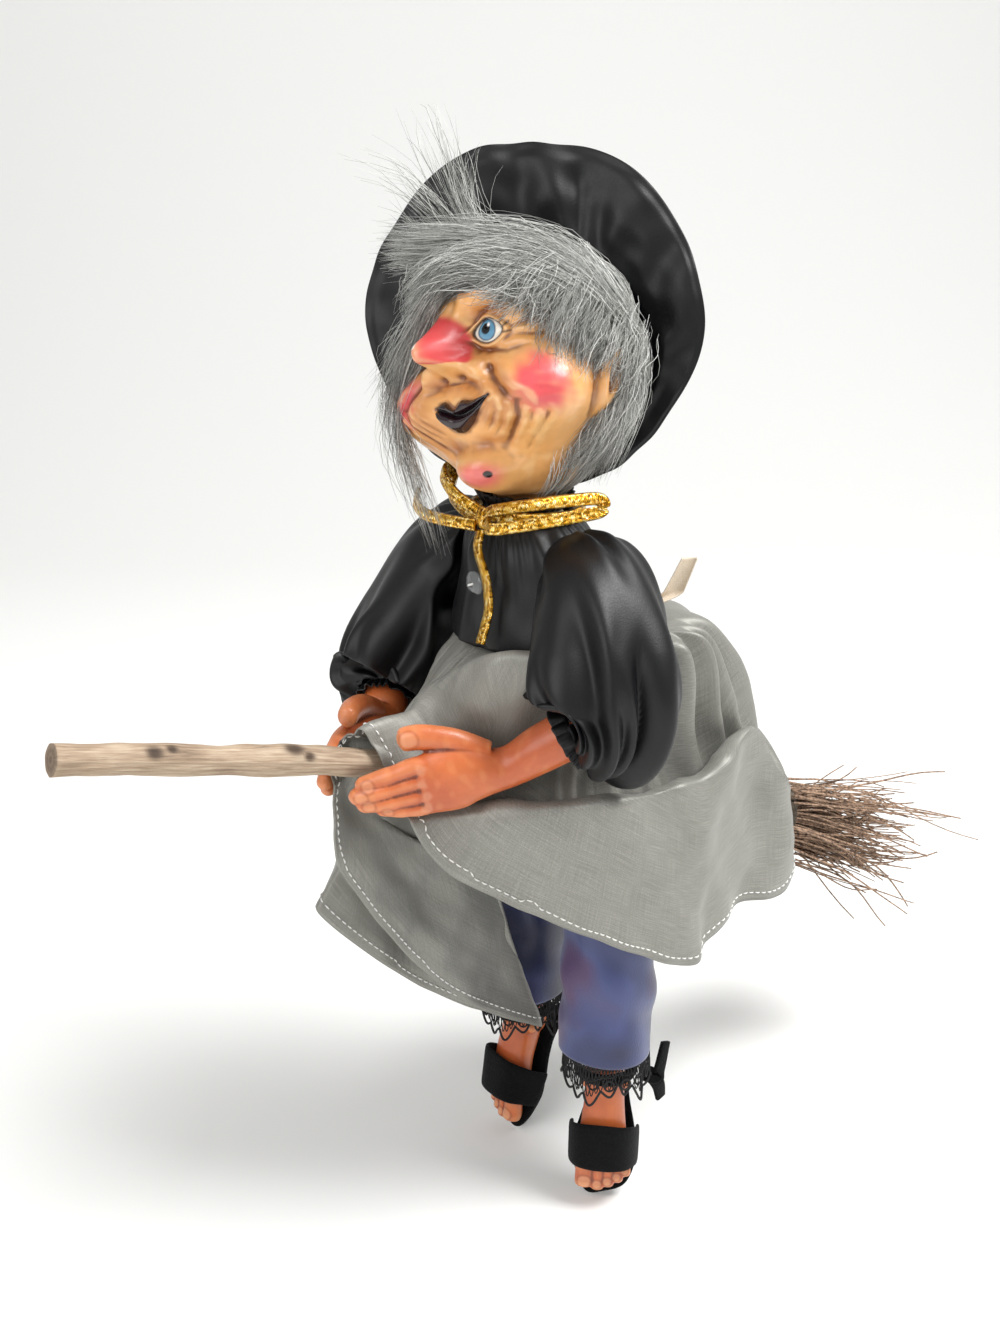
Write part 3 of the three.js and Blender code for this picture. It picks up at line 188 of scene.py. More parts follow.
def make(name, points, faces, finish, uv=None):
    """A mesh object of the given points, in millimetres, with smooth faces that point outwards."""
    mesh = bpy.data.meshes.new(name)
    mesh.from_pydata((np.reshape(points, (-1, 3)) * MM).tolist(), [], [list(map(int, f)) for f in faces])
    if uv is not None:
        layer = mesh.uv_layers.new(name="cloth")
        layer.data.foreach_set("uv", np.asarray(uv, np.float32).ravel())
    work = bmesh.new()
    work.from_mesh(mesh)
    if work.calc_volume(signed=True) < 0:
        bmesh.ops.reverse_faces(work, faces=work.faces)
    for face in work.faces:
        face.smooth = True
    work.to_mesh(mesh)
    work.free()
    made = bpy.data.objects.new(name, mesh)
    SCENE.collection.objects.link(made)
    mesh.materials.append(finish)
    return made


def modify(made, kind, **settings):
    """Adds a modifier and applies it."""
    changer = made.modifiers.new(kind.lower(), kind)
    for name, value in settings.items():
        setattr(changer, name, value)
    bpy.ops.object.select_all(action="DESELECT")
    made.select_set(True)
    bpy.context.view_layer.objects.active = made
    bpy.ops.object.modifier_apply(modifier=changer.name)
    made.select_set(False)


def settle(made, body, slot, *nodes):
    """Puts a finished piece on its body and in the place of its CAD nodes."""
    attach(made, body)
    if nodes:
        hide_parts(*nodes)
    return made


def sewn(name, rings, finish, place, wall=0.5, offset=-1):
    """Cloth over rings of points, given its thickness and settled in its place."""
    made = make(name, rings, grid(*rings.shape[:2], True)[0], finish)
    modify(made, "SOLIDIFY", thickness=wall * MM, offset=offset)
    return settle(made, *place)


def loft(rings, closed=False):
    """Points and faces of a skin over rings, its ends closed by fans unless the rings run round a loop."""
    rows, cols = rings.shape[:2]
    points = rings.reshape(-1, 3)
    if closed:
        faces, _ = grid(rows + 1, cols, True)
        return points, (faces % (rows * cols)).tolist()
    faces = grid(rows, cols, True)[0].tolist()
    n = rows * cols
    points = np.concatenate([points, [rings[0].mean(0), rings[-1].mean(0)]])
    last = n - cols
    for j in range(cols):
        k = (j + 1) % cols
        faces += [[n, k, j], [n + 1, last + j, last + k]]
    return points, faces


def bundle(parts):
    """Several skins as one list of points and faces."""
    points, faces, first = [], [], 0
    for p, f in parts:
        points.append(np.reshape(p, (-1, 3)))
        faces += [[int(i) + first for i in face] for face in f]
        first += len(points[-1])
    return np.concatenate(points), faces


def strands(paths, radii):
    """Points and faces of many thin three-sided strands, given as paths of equal length."""
    s, k = paths.shape[:2]
    along = unit(np.gradient(paths, axis=1))
    side = unit(np.cross(along, np.array([0.31, 0.52, 0.79])))
    up = np.cross(along, side)
    angle = spokes(3)
    r = radii[..., None, None]
    ring = side[:, :, None] * np.cos(angle)[:, None] + up[:, :, None] * np.sin(angle)[:, None]
    points = (paths[:, :, None] + r * ring).reshape(-1, 3)
    first = (np.arange(s) * k * 3)[:, None, None]
    i, j = np.meshgrid(np.arange(k - 1), np.arange(3), indexing="ij")
    n = (j + 1) % 3
    quad = np.stack([i * 3 + j, i * 3 + n, i * 3 + 3 + n, i * 3 + 3 + j], -1).reshape(1, -1, 4)
    ends = np.array([[[2, 1, 0], [3 * k - 3, 3 * k - 2, 3 * k - 1]]])
    return points, (first + quad).reshape(-1, 4).tolist() + (first + ends).reshape(-1, 3).tolist()


def hollows(made, spread):
    """How far each vertex lies in a hollow, evened over its neighbours."""
    mesh = made.data
    n = len(mesh.vertices)
    p = np.empty(n * 3)
    mesh.vertices.foreach_get("co", p)
    p = p.reshape(-1, 3) / MM
    normal = np.empty(n * 3)
    mesh.vertex_normals.foreach_get("vector", normal)
    normal = normal.reshape(-1, 3)
    edges = np.empty(len(mesh.edges) * 2, int)
    mesh.edges.foreach_get("vertices", edges)
    a, b = edges.reshape(-1, 2).T
    count = np.bincount(np.r_[a, b], minlength=n)[:, None]

    def even(values):
        total = np.zeros_like(values)
        np.add.at(total, a, values[b])
        np.add.at(total, b, values[a])
        return total / np.maximum(count, 1)

    wide = p
    for _ in range(spread):
        wide = even(wide)
    depth = ((wide - p) * normal).sum(-1, keepdims=True)
    return p, even(even(depth))[:, 0]


def paint(made, base, layers):
    """Stores a colour for each vertex: a base, and layers over it that cover a share of each vertex."""
    colours = np.tile(linear(base), (len(made.data.vertices), 1))
    for share, code in layers:
        share = np.clip(share, 0, 1)[:, None]
        colours = colours * (1 - share) + np.array(linear(code)) * share
    layer = made.data.color_attributes.new("paint", "FLOAT_COLOR", "POINT")
    layer.data.foreach_set("color", np.asarray(colours, np.float32).ravel())


# Camera, light and floor

CAMERA_TURN, CAMERA_RISE = 55, 18
# The lens's focal length and the sensor's longer side, in millimetres, and the photograph in pixels.
CAMERA_LENS, SENSOR = 40.51, 36
PHOTO_WIDE, PHOTO_HIGH = 1000, 1333
CAMERA_PLACE = (422.7, -306.8, 107.8)
FLOOR_Z = -0.279


def camera_axes():
    """The camera's right-hand and backward directions."""
    turn, rise = math.radians(CAMERA_TURN), math.radians(CAMERA_RISE)
    right = (math.cos(turn), math.sin(turn), 0)
    return right, (math.sin(turn) * math.cos(rise), -math.cos(turn) * math.cos(rise), math.sin(rise))


def set_camera():
    """The photograph's own view: seen from the doll's left front and a little from above."""
    right, back = map(Vector, camera_axes())
    data = bpy.data.cameras.new("camera")
    data.lens = CAMERA_LENS
    data.sensor_width = SENSOR
    camera = bpy.data.objects.new("camera", data)
    place = Matrix((right, back.cross(right), back)).transposed().to_4x4()
    place.translation = Vector(CAMERA_PLACE) * MM
    camera.matrix_world = place
    SCENE.collection.objects.link(camera)
    SCENE.camera = camera


def set_stage():
    """White paper that curves up behind the doll, an even sky and two soft lights. Sizes in metres."""
    right, back = map(Vector, camera_axes())
    away = Vector((-back.x, -back.y, 0)).normalized()
    outline = [(d, 0.0) for d in np.linspace(-4, 1.0, 12)]
    outline += [(1.0 + 0.9 * math.sin(a), 0.9 - 0.9 * math.cos(a)) for a in np.linspace(0.1, np.pi / 2, 14)]
    outline += [(1.9, 2.0), (1.9, 4.0)]
    points = []
    for d, z in outline:
        for side in np.linspace(-4, 4, 5):
            points.append(away * d + right * side + Vector((0, 0, z + FLOOR_Z)))
    mesh = bpy.data.meshes.new("paper_floor")
    mesh.from_pydata([tuple(p) for p in points], [], grid(len(outline), 5, False)[0].tolist())
    mesh.polygons.foreach_set("use_smooth", [True] * len(mesh.polygons))
    mesh.materials.append(start("white_paper", "#f4f4f2", 0.9))
    floor = bpy.data.objects.new("paper_floor", mesh)
    SCENE.collection.objects.link(floor)

    world = bpy.data.worlds.new("studio")
    SCENE.world = world
    world.use_nodes = True
    sky = world.node_tree.nodes["Background"]
    sky.inputs["Color"].default_value = (1, 1, 1, 1)
    sky.inputs["Strength"].default_value = 0.5

    up = back.cross(right)
    for name, place, size, power in (
        ("key_light", right * 0.75 + up * 1.05 + back * 0.55, 0.7, 30.0),
        ("fill_light", right * -0.7 + up * 0.25 + back * 1.0, 0.9, 8.0),
    ):
        data = bpy.data.lights.new(name, "AREA")
        data.size = size
        data.energy = power
        lamp = bpy.data.objects.new(name, data)
        lamp.location = place
        lamp.rotation_euler = place.to_track_quat("Z", "Y").to_euler()
        SCENE.collection.objects.link(lamp)


# Materials

MULTIPLY = {"data_type": "RGBA", "blend_type": "MULTIPLY"}


def start(name, colour, roughness, **sockets):
    """A plain material, with more of its shader's values given by the names of their sockets."""
    finish = bpy.data.materials.new(name)
    finish.use_nodes = True
    shader = finish.node_tree.nodes["Principled BSDF"]
    shader.inputs["Base Color"].default_value = linear(colour)
    shader.inputs["Roughness"].default_value = roughness
    for socket, value in sockets.items():
        shader.inputs[socket.replace("_", " ")].default_value = value
    return finish


def satin(name, colour, sheen):
    """Satin: a smooth weave with floating threads, so soft wide highlights and a faint grain."""
    gleam = {"Sheen_Weight": sheen, "Sheen_Roughness": 0.3, "Sheen_Tint": linear("#aeb6c6")}
    finish = start(name, colour, 0.4, Specular_IOR_Level=0.36, **gleam)
    where = put(finish, "TexCoord").outputs["Object"]
    # Threads are drawn 0.6 mm wide, several times the real ones, so that they show.
    threads = put(finish, "TexNoise", {"Vector": where, "Scale": 1 / 0.0006, "Detail": 2.0}).outputs["Fac"]
    put(finish, "MapRange", {"Value": threads, "To Min": 0.36, "To Max": 0.54}, to="Roughness")
    put(finish, "Bump", {"Height": threads, "Strength": 0.22, "Distance": 0.0002}, to="Normal")
    return finish


def taffeta(name):
    """Slubbed taffeta: crisp silvery weave whose uneven threads draw fine streaks, bright on its folds."""
    finish = start(name, "#9a9a94", 0.4, Sheen_Weight=0.12, Sheen_Roughness=0.35, Metallic=0.24)
    where = put(finish, "UVMap", uv_map="cloth").outputs["UV"]
    # The UV map is in millimetres. Slubs are 0.4 mm wide and about 16 mm long, the weave 0.5 mm.
    streaks = []
    for scale in ((1 / 0.4, 1 / 16, 1), (1 / 14, 1 / 0.35, 1)):
        threads = put(finish, "Mapping", {"Vector": where, "Scale": scale}).outputs[0]
        noise = put(finish, "TexNoise", {"Vector": threads, "Scale": 1.0, "Detail": 3.0})
        streaks.append(noise.outputs["Fac"])
    slubs = put(finish, "Mix", {"Factor": 0.66, 2: streaks[0], 3: streaks[1]}).outputs[0]
    weave = put(finish, "TexNoise", {"Vector": where, "Scale": 1 / 0.5, "Detail": 1.0}).outputs["Fac"]
    both = put(finish, "Mix", {"Factor": 0.3, 2: slubs, 3: weave}).outputs[0]
    stops = [(0.3, "#6c6c67"), (0.5, "#85847d"), (0.7, "#a2a199")]
    put(finish, "ValToRGB", {"Fac": both}, stops, to="Base Color")
    put(finish, "MapRange", {"Value": both, "To Min": 0.4, "To Max": 0.58}, to="Roughness")
    put(finish, "Bump", {"Height": both, "Strength": 0.22, "Distance": 0.0003}, to="Normal")
    return finish


def printed_satin(name):
    """Printed satin of the leggings: blue ground with soft violet clouds and a fine weave."""
    finish = start(name, "#474b70", 0.45, Sheen_Weight=0.25, Sheen_Roughness=0.4)
    where = put(finish, "TexCoord").outputs["Object"]
    # The clouds of the print are about 40 mm across. The weave is drawn at 0.8 mm, coarser than it is.
    clouds = put(finish, "TexNoise", {"Vector": where, "Scale": 1 / 0.038, "Detail": 2.0, "Roughness": 0.5})
    stops = [(0.34, "#1b2040"), (0.45, "#2a315a"), (0.55, "#39426f"), (0.66, "#483258")]
    put(finish, "ValToRGB", {"Fac": clouds.outputs["Fac"]}, stops, to="Base Color")
    weave = put(finish, "TexNoise", {"Vector": where, "Scale": 1 / 0.0008, "Detail": 1.0}).outputs["Fac"]
    put(finish, "Bump", {"Height": weave, "Strength": 0.5, "Distance": 0.0002}, to="Normal")
    return finish


def painted(name, roughness, grain, depth, **sockets):
    """Moulded vinyl painted by hand: the colours lie on the surface as an attribute, under a varnish."""
    finish = start(name, "#c98a58", roughness, **sockets)
    colours = put(finish, "VertexColor", layer_name="paint").outputs["Color"]
    where = put(finish, "TexCoord").outputs["Object"]
    mottle = put(finish, "TexNoise", {"Vector": where, "Scale": 1 / 0.004, "Detail": 4.0}).outputs["Fac"]
    shade = put(finish, "MapRange", {"Value": mottle, "To Min": 0.86, "To Max": 1.12}).outputs[0]
    put(finish, "Mix", {"Factor": 1.0, 6: colours, 7: shade}, to="Base Color", out=2, **MULTIPLY)
    pits = put(finish, "TexNoise", {"Vector": where, "Scale": 1 / grain, "Detail": 3.0}).outputs["Fac"]
    reach = {"To Min": roughness - 0.06, "To Max": roughness + 0.1}
    rough = put(finish, "MapRange", {"Value": pits, **reach}).outputs[0]
    # Dark paint, as on the lips, is the glossiest.
    dark = put(finish, "RGBToBW", {"Color": colours}).outputs[0]
    reach = {"From Min": 0.01, "From Max": 0.08, "To Min": -0.24, "To Max": 0.0}
    less = put(finish, "MapRange", {"Value": dark, **reach}).outputs[0]
    put(finish, "Math", {0: rough, 1: less}, to="Roughness", operation="ADD", use_clamp=True)
    put(finish, "Bump", {"Height": pits, "Strength": depth, "Distance": 0.0004}, to="Normal")
    return finish


def braid(name):
    """Metallic gold braid: ribs along it and fine threads across them, with painted highlights on the
    threads and painted shade in the dark gaps between.
    """
    finish = start(name, "#deb03c", 0.26, Metallic=0.9)
    where = put(finish, "UVMap", uv_map="cloth").outputs["UV"]
    split = put(finish, "SeparateXYZ", {"Vector": where}).outputs
    # Three ribs lie side by side, 1.5 mm apart, and their threads are 0.7 mm apart and slant.
    turns = put(finish, "Math", {0: split["X"], 1: 2 * math.pi / 1.5}, operation="MULTIPLY").outputs[0]
    rib = put(finish, "Math", {0: turns}, operation="COSINE").outputs[0]
    lean = put(finish, "Math", {0: split["X"]}, operation="ABSOLUTE").outputs[0]
    slope = put(finish, "Math", {0: lean, 1: 0.7, 2: split["Y"]}, operation="MULTIPLY_ADD").outputs[0]
    turns = put(finish, "Math", {0: slope, 1: 2 * math.pi / 0.7}, operation="MULTIPLY").outputs[0]
    thread = put(finish, "Math", {0: turns}, operation="SINE").outputs[0]
    both = put(finish, "Math", {0: rib, 1: 0.5, 2: thread}, operation="MULTIPLY_ADD").outputs[0]
    height = put(finish, "MapRange", {"Value": both, "From Min": -1.5, "From Max": 1.5}).outputs[0]
    # Painted glints: each loop of thread, 0.7 mm across, gets its own brightness in the colour, as though it
    # turned its own way to the light.
    loops = put(finish, "TexVoronoi", {"Vector": where, "Scale": 1 / 0.7}).outputs["Color"]
    glint = put(finish, "RGBToBW", {"Color": loops}).outputs[0]
    mixed = put(finish, "Mix", {"Factor": 0.62, 2: height, 3: glint}).outputs[0]
    # The colour follows the height and the glints: painted shade in the gaps, painted highlights near white
    # on the threads.
    stops = [(0.26, "#4a2a04"), (0.4, "#b07612"), (0.54, "#eab030"), (0.66, "#ffd65a"), (0.78, "#fff4c4")]
    put(finish, "ValToRGB", {"Fac": mixed}, stops, to="Base Color")
    put(finish, "Bump", {"Height": mixed, "Strength": 1.0, "Distance": 0.0006}, to="Normal")
    return finish


def bark(name, dark, middle, light, long):
    """Dry wood seen along the grain: grey-brown with fine streaks that run along the branch."""
    finish = start(name, middle, 0.75)
    where = put(finish, "UVMap", uv_map="cloth").outputs["UV"]
    # The UV map is in millimetres: streaks 0.9 mm wide and as long as given, patches 26 mm across.
    grain = put(finish, "Mapping", {"Vector": where, "Scale": (1 / 0.9, 1 / long, 1)}).outputs[0]
    streaks = {"Vector": grain, "Scale": 1.0, "Detail": 5.0, "Roughness": 0.65}
    streaks = put(finish, "TexNoise", streaks).outputs["Fac"]
    patch = put(finish, "TexNoise", {"Vector": where, "Scale": 1 / 26, "Detail": 2.0}).outputs["Fac"]
    both = put(finish, "Mix", {"Factor": 0.35, 2: streaks, 3: patch}).outputs[0]
    stops = [(0.3, dark), (0.48, middle), (0.68, light)]
    colours = put(finish, "ValToRGB", {"Fac": both}, stops).outputs["Color"]
    knots = put(finish, "VertexColor", layer_name="paint").outputs["Color"]
    put(finish, "Mix", {"Factor": 1.0, 6: colours, 7: knots}, to="Base Color", out=2, **MULTIPLY)
    put(finish, "Bump", {"Height": streaks, "Strength": 0.5, "Distance": 0.0006}, to="Normal")
    return finish


def grainy(name, dark, light, size, roughness, depth, **sockets):
    """A material whose colour and surface waver over a small real size in millimetres."""
    finish = start(name, dark, roughness, **sockets)
    where = put(finish, "TexCoord").outputs["Object"]
    fuzz = put(finish, "TexNoise", {"Vector": where, "Scale": 1 / (size * MM), "Detail": 4.0}).outputs["Fac"]
    put(finish, "ValToRGB", {"Fac": fuzz}, [(0.3, dark), (0.7, light)], to="Base Color")
    put(finish, "Bump", {"Height": fuzz, "Strength": depth, "Distance": 0.0004}, to="Normal")
    return finish


def hair_fibre(name):
    """Acrylic fur: fine grey fibres, some pale and some dark, each with a soft sheen along it."""
    finish = start(name, "#85888b", 0.42, Specular_IOR_Level=0.4)
    tone = put(finish, "VertexColor", layer_name="paint").outputs["Color"]
    where = put(finish, "TexCoord").outputs["Object"]
    vary = put(finish, "TexNoise", {"Vector": where, "Scale": 1 / 0.006, "Detail": 2.0}).outputs["Fac"]
    shade = put(finish, "MapRange", {"Value": vary, "To Min": 0.8, "To Max": 1.15}).outputs[0]
    put(finish, "Mix", {"Factor": 1.0, 6: tone, 7: shade}, to="Base Color", out=2, **MULTIPLY)
    return finish


# Woven polyester satin: black cloth with a soft wide gleam along each fold.
BLACK_SATIN = satin("black_polyester_satin", "#040406", 0.05)
# Woven taffeta: stiff grey cloth with silvery streaks.
GREY_TAFFETA = taffeta("grey_slub_taffeta")
# Printed satin: deep blue with violet clouds under a low sheen.
BLUE_SATIN = printed_satin("blue_violet_printed_satin")
# Cast vinyl, sprayed tan: warm and half glossy, with painted shade dark in its creases and painted
# highlights on what stands out.
VINYL = painted("tan_painted_vinyl", 0.36, 0.0012, 0.25, Coat_Weight=0.15, Coat_Roughness=0.2)
# Cast vinyl, painted by brush and varnished: washes, which in the hollows are also painted shade, and reds
# under a thin shine.
SKIN = painted("varnished_painted_vinyl", 0.36, 0.0016, 0.12, Coat_Weight=0.35, Coat_Roughness=0.2)
# Braid of metal-wrapped thread: gold, with painted glints on its threads and painted shade in the gaps
# between.
GOLD = braid("gold_metallic_braid")
# Branch with its bark peeled off: dry and dull, streaked along the grain.
WOOD = bark("peeled_branch", "#5d4c3d", "#a08a73", "#c9b8a1", 16)
# Dried birch twigs: dull brown bark in light and dark patches.
TWIG = grainy("dry_birch_twigs", "#3a291e", "#bd9b80", 1.5, 0.75, 0.4)
# Pressed wool felt: soaks up the light, so nearly flat black with a little fuzz.
FUZZ = {"Specular_IOR_Level": 0.15, "Sheen_Weight": 0.04}
FELT = grainy("black_wool_felt", "#030304", "#0c0d0e", 0.9, 0.95, 0.8, **FUZZ)
# Spun cotton lace: dull black threads.
LACE = grainy("black_cotton_lace", "#0a0a0b", "#17171a", 0.7, 0.8, 0.4)
# Turned beech: pale and smooth, with faint flecks.
DOWEL = grainy("beech_dowel", "#b98f62", "#d9b98c", 3.0, 0.6, 0.15)
# Plain cotton calico, unbleached: matt cream, its weave drawn coarser than it is.
CALICO = grainy("unbleached_calico", "#b6a684", "#d6c9ab", 0.8, 0.9, 0.3)
# Drawn acrylic fibre: grey hair with a soft sheen along it.
FUR = hair_fibre("grey_acrylic_fur")
# Knitted backing of the fur: dark, matt and rough between the fibres.
FUR_BACKING = grainy("grey_fur_backing", "#3c3e40", "#66696b", 1.2, 0.85, 0.6)
# Drawn iron wire, dulled by age: brownish grey with a weak gleam.
WIRE = grainy("dull_binding_wire", "#3b352e", "#6a5f52", 1.0, 0.5, 0.3, Metallic=0.7)
# Woven cotton tape: matt cream.
TAPE = grainy("cream_woven_tape", "#d8c6ae", "#eadfce", 0.5, 0.8, 0.25)
# Spun sewing thread: white with a faint lustre.
THREAD = grainy("white_sewing_thread", "#cfcfca", "#eeeeea", 0.4, 0.6, 0.3)
# Moulded clear acrylic: the cloth shows through it, with small sharp highlights.
BUTTON = start("clear_acrylic", "#e6eaec", 0.07, Transmission_Weight=0.85, IOR=1.49)


# Sizes in millimetres, the same as the part's own

GAP = 0.4
SATIN_WALL = 1.2
LEAN = 0.2
BLOUSE_OUT = 3.2
STICK_R = 5.2
STICK = [(0, -176, -58.5), (0, -76, -82), (0, 10, -106), (2, 122, -149)]
stick_axis = curve(STICK, 24)
SEAT_Z = np.interp(101 * LEAN, stick_axis[:, 1], stick_axis[:, 2]) + STICK_R - 2
TORSO_ROWS = [
    (SEAT_Z, 13, 15),
    (SEAT_Z + 10, 27, 25),
    (SEAT_Z + 24, 34, 30),
    (-58, 32, 26),
    (-40, 31, 23),
    (-20, 29, 20),
    (-9, 22, 16),
    (-2, 11.5, 11.5),
]


def turned(p, degrees):
    """Points turned about the Z axis."""
    c, s = math.cos(math.radians(degrees)), math.sin(math.radians(degrees))
    return p @ np.array([[c, s, 0], [-s, c, 0], [0, 0, 1]])


def pitched(p, degrees):
    """Points turned about the X axis."""
    c, s = math.cos(math.radians(degrees)), math.sin(math.radians(degrees))
    return p @ np.array([[1, 0, 0], [0, c, s], [0, -s, c]])


def body_rings(heights, grow, sides):
    """Oval rings round the leaning body, grown by a number or by one for each point."""
    rx, ry = profile(TORSO_ROWS, heights)
    angle = spokes(sides)
    grow = np.broadcast_to(grow, (len(heights), sides))
    x = (rx[:, None] + grow) * np.cos(angle)
    y = -heights[:, None] * LEAN + (ry[:, None] + grow) * np.sin(angle)
    return np.stack([x, y, np.broadcast_to(heights[:, None], x.shape)], -1)


def skin(rings, across, closed=False):
    """A skin over rings with a UV map in millimetres: across it, with one value more than it has sides."""
    rows, cols = rings.shape[:2]
    points, faces = loft(rings, closed)
    middle = rings.mean(1)
    if closed:
        along = np.arange(rows + 1) * np.linalg.norm(middle[1] - middle[0])
    else:
        along = lengths(middle)
    _, corners = grid(len(along), cols, True)
    places = np.stack(np.broadcast_arrays(across[None], along[:, None]), -1)
    ends = np.zeros((0 if closed else 6 * cols, 2))
    return points, faces, np.concatenate([places.reshape(-1, 2)[corners.ravel()], ends])


def wavy(angle, count, seed):
    """Uneven folds round a ring, between -1 and 1."""
    rng = np.random.default_rng(seed)
    a = angle + 0.22 * np.sin(2 * angle + rng.uniform(0, 6)) + 0.1 * np.sin(5 * angle + rng.uniform(0, 6))
    return 0.7 * np.cos(count * a) + 0.3 * np.cos((count // 2 + 1) * angle + rng.uniform(0, 6))


# Gold cord

CORD_HALF, CORD_THICK, CORD_Z = 2.2, 2.0, -2.6
cord_ring = body_rings(np.array([CORD_Z - CORD_HALF]), BLOUSE_OUT + 0.7 + GAP + CORD_THICK / 2, 30)[0]
cord_ring[:, 2] = CORD_Z
KNOT_Y = cord_ring[:, 1].min() - CORD_THICK / 2 - GAP - 1.7
KNOT_X, LOOP_GAP = 4, 2.1
BOW = {
    "bow_loop_left": [
        (KNOT_X + LOOP_GAP, KNOT_Y, CORD_Z + 1.4),
        (14, KNOT_Y - 2, 1.5),
        (26, KNOT_Y + 4, 4.5),
        (37, KNOT_Y + 13, 7),
        (43, KNOT_Y + 20, 7.5),
        (44.5, KNOT_Y + 19.5, 4),
        (38, KNOT_Y + 11.5, 1.5),
        (27, KNOT_Y + 1.5, -1.8),
        (15, KNOT_Y - 4, -4.6),
        (KNOT_X + LOOP_GAP + 0.4, KNOT_Y - 0.2, CORD_Z - 1.8),
    ],
    "bow_loop_right": [
        (KNOT_X - LOOP_GAP, KNOT_Y, CORD_Z + 1.4),
        (-8, KNOT_Y - 3, 3),
        (-19, KNOT_Y - 1, 7.5),
        (-25, KNOT_Y + 4, 9.5),
        (-27, KNOT_Y + 9, 5.5),
        (-21, KNOT_Y + 3.5, 1.5),
        (-10, KNOT_Y + 0.4, -1.8),
        (KNOT_X - LOOP_GAP, KNOT_Y + 0.8, CORD_Z - 2),
    ],
    "bow_tail_short": [
        (KNOT_X - LOOP_GAP, KNOT_Y - 1.6, CORD_Z - 3.2),
        (-10, KNOT_Y - 5, -6),
        (-23, KNOT_Y - 6, -6),
        (-33, KNOT_Y - 4, -4),
        (-38, KNOT_Y, -1),
    ],
    "bow_tail_long": [
        (KNOT_X - 0.6, KNOT_Y - 0.6, CORD_Z - CORD_HALF * 1.3 - 2),
        (KNOT_X + 0.5, KNOT_Y - 2.5, -14),
        (8.8, KNOT_Y - 2, -24),
        (11.6, KNOT_Y - 3, -33),
        (12.4, KNOT_Y - 5, -39),
        (13, KNOT_Y - 7.5, -45),
    ],
}


def flat_braid(name, path, across, closed=False):
    """A flat braid with rounded edges along a path."""
    rings = sweep(path, CORD_HALF, CORD_THICK / 2, across, 20, closed, corner=0.75)
    over = np.cos(spokes(20)) * CORD_HALF
    points, faces, uv = skin(rings, np.append(over, over[:1]), closed)
    return make(name, points, faces, GOLD, uv)


def tie_bow():
    """The bow's loops and tails, the cord round the neck and the knot."""
    for name, route in BOW.items():
        path = curve(route, 140)
        across = {"bow_tail_long": (1, 0, 0), "bow_tail_short": (0, 0.2, 1)}.get(name, (0, 0.35, 1))
        cord = settle(flat_braid("gold_" + name, path, across), "torso", "gold_braid", name)
        "object" if "loop" in name else "bare"
    ring = curve(cord_ring, 150, closed=True)
    settle(flat_braid("gold_neck_cord", ring, (0, 0, 1), closed=True), "torso", "gold_braid", "neck_cord")
    # The knot is a turn of the braid pulled tight over the bow.
    turn = np.linspace(0, 2 * np.pi, 40, endpoint=False)
    depth, high = KNOT_Y - 1.2 * np.cos(turn), CORD_Z - 0.4 + 3.0 * np.sin(turn)
    over = np.stack([KNOT_X + 0.25 * np.cos(turn), depth, high], -1)
    settle(flat_braid("gold_bow_knot", over, (1, 0, 0), closed=True), "torso", "gold_braid", "bow_knot")


# Body and blouse

BUTTON_X, BUTTON_Z = -2, -28


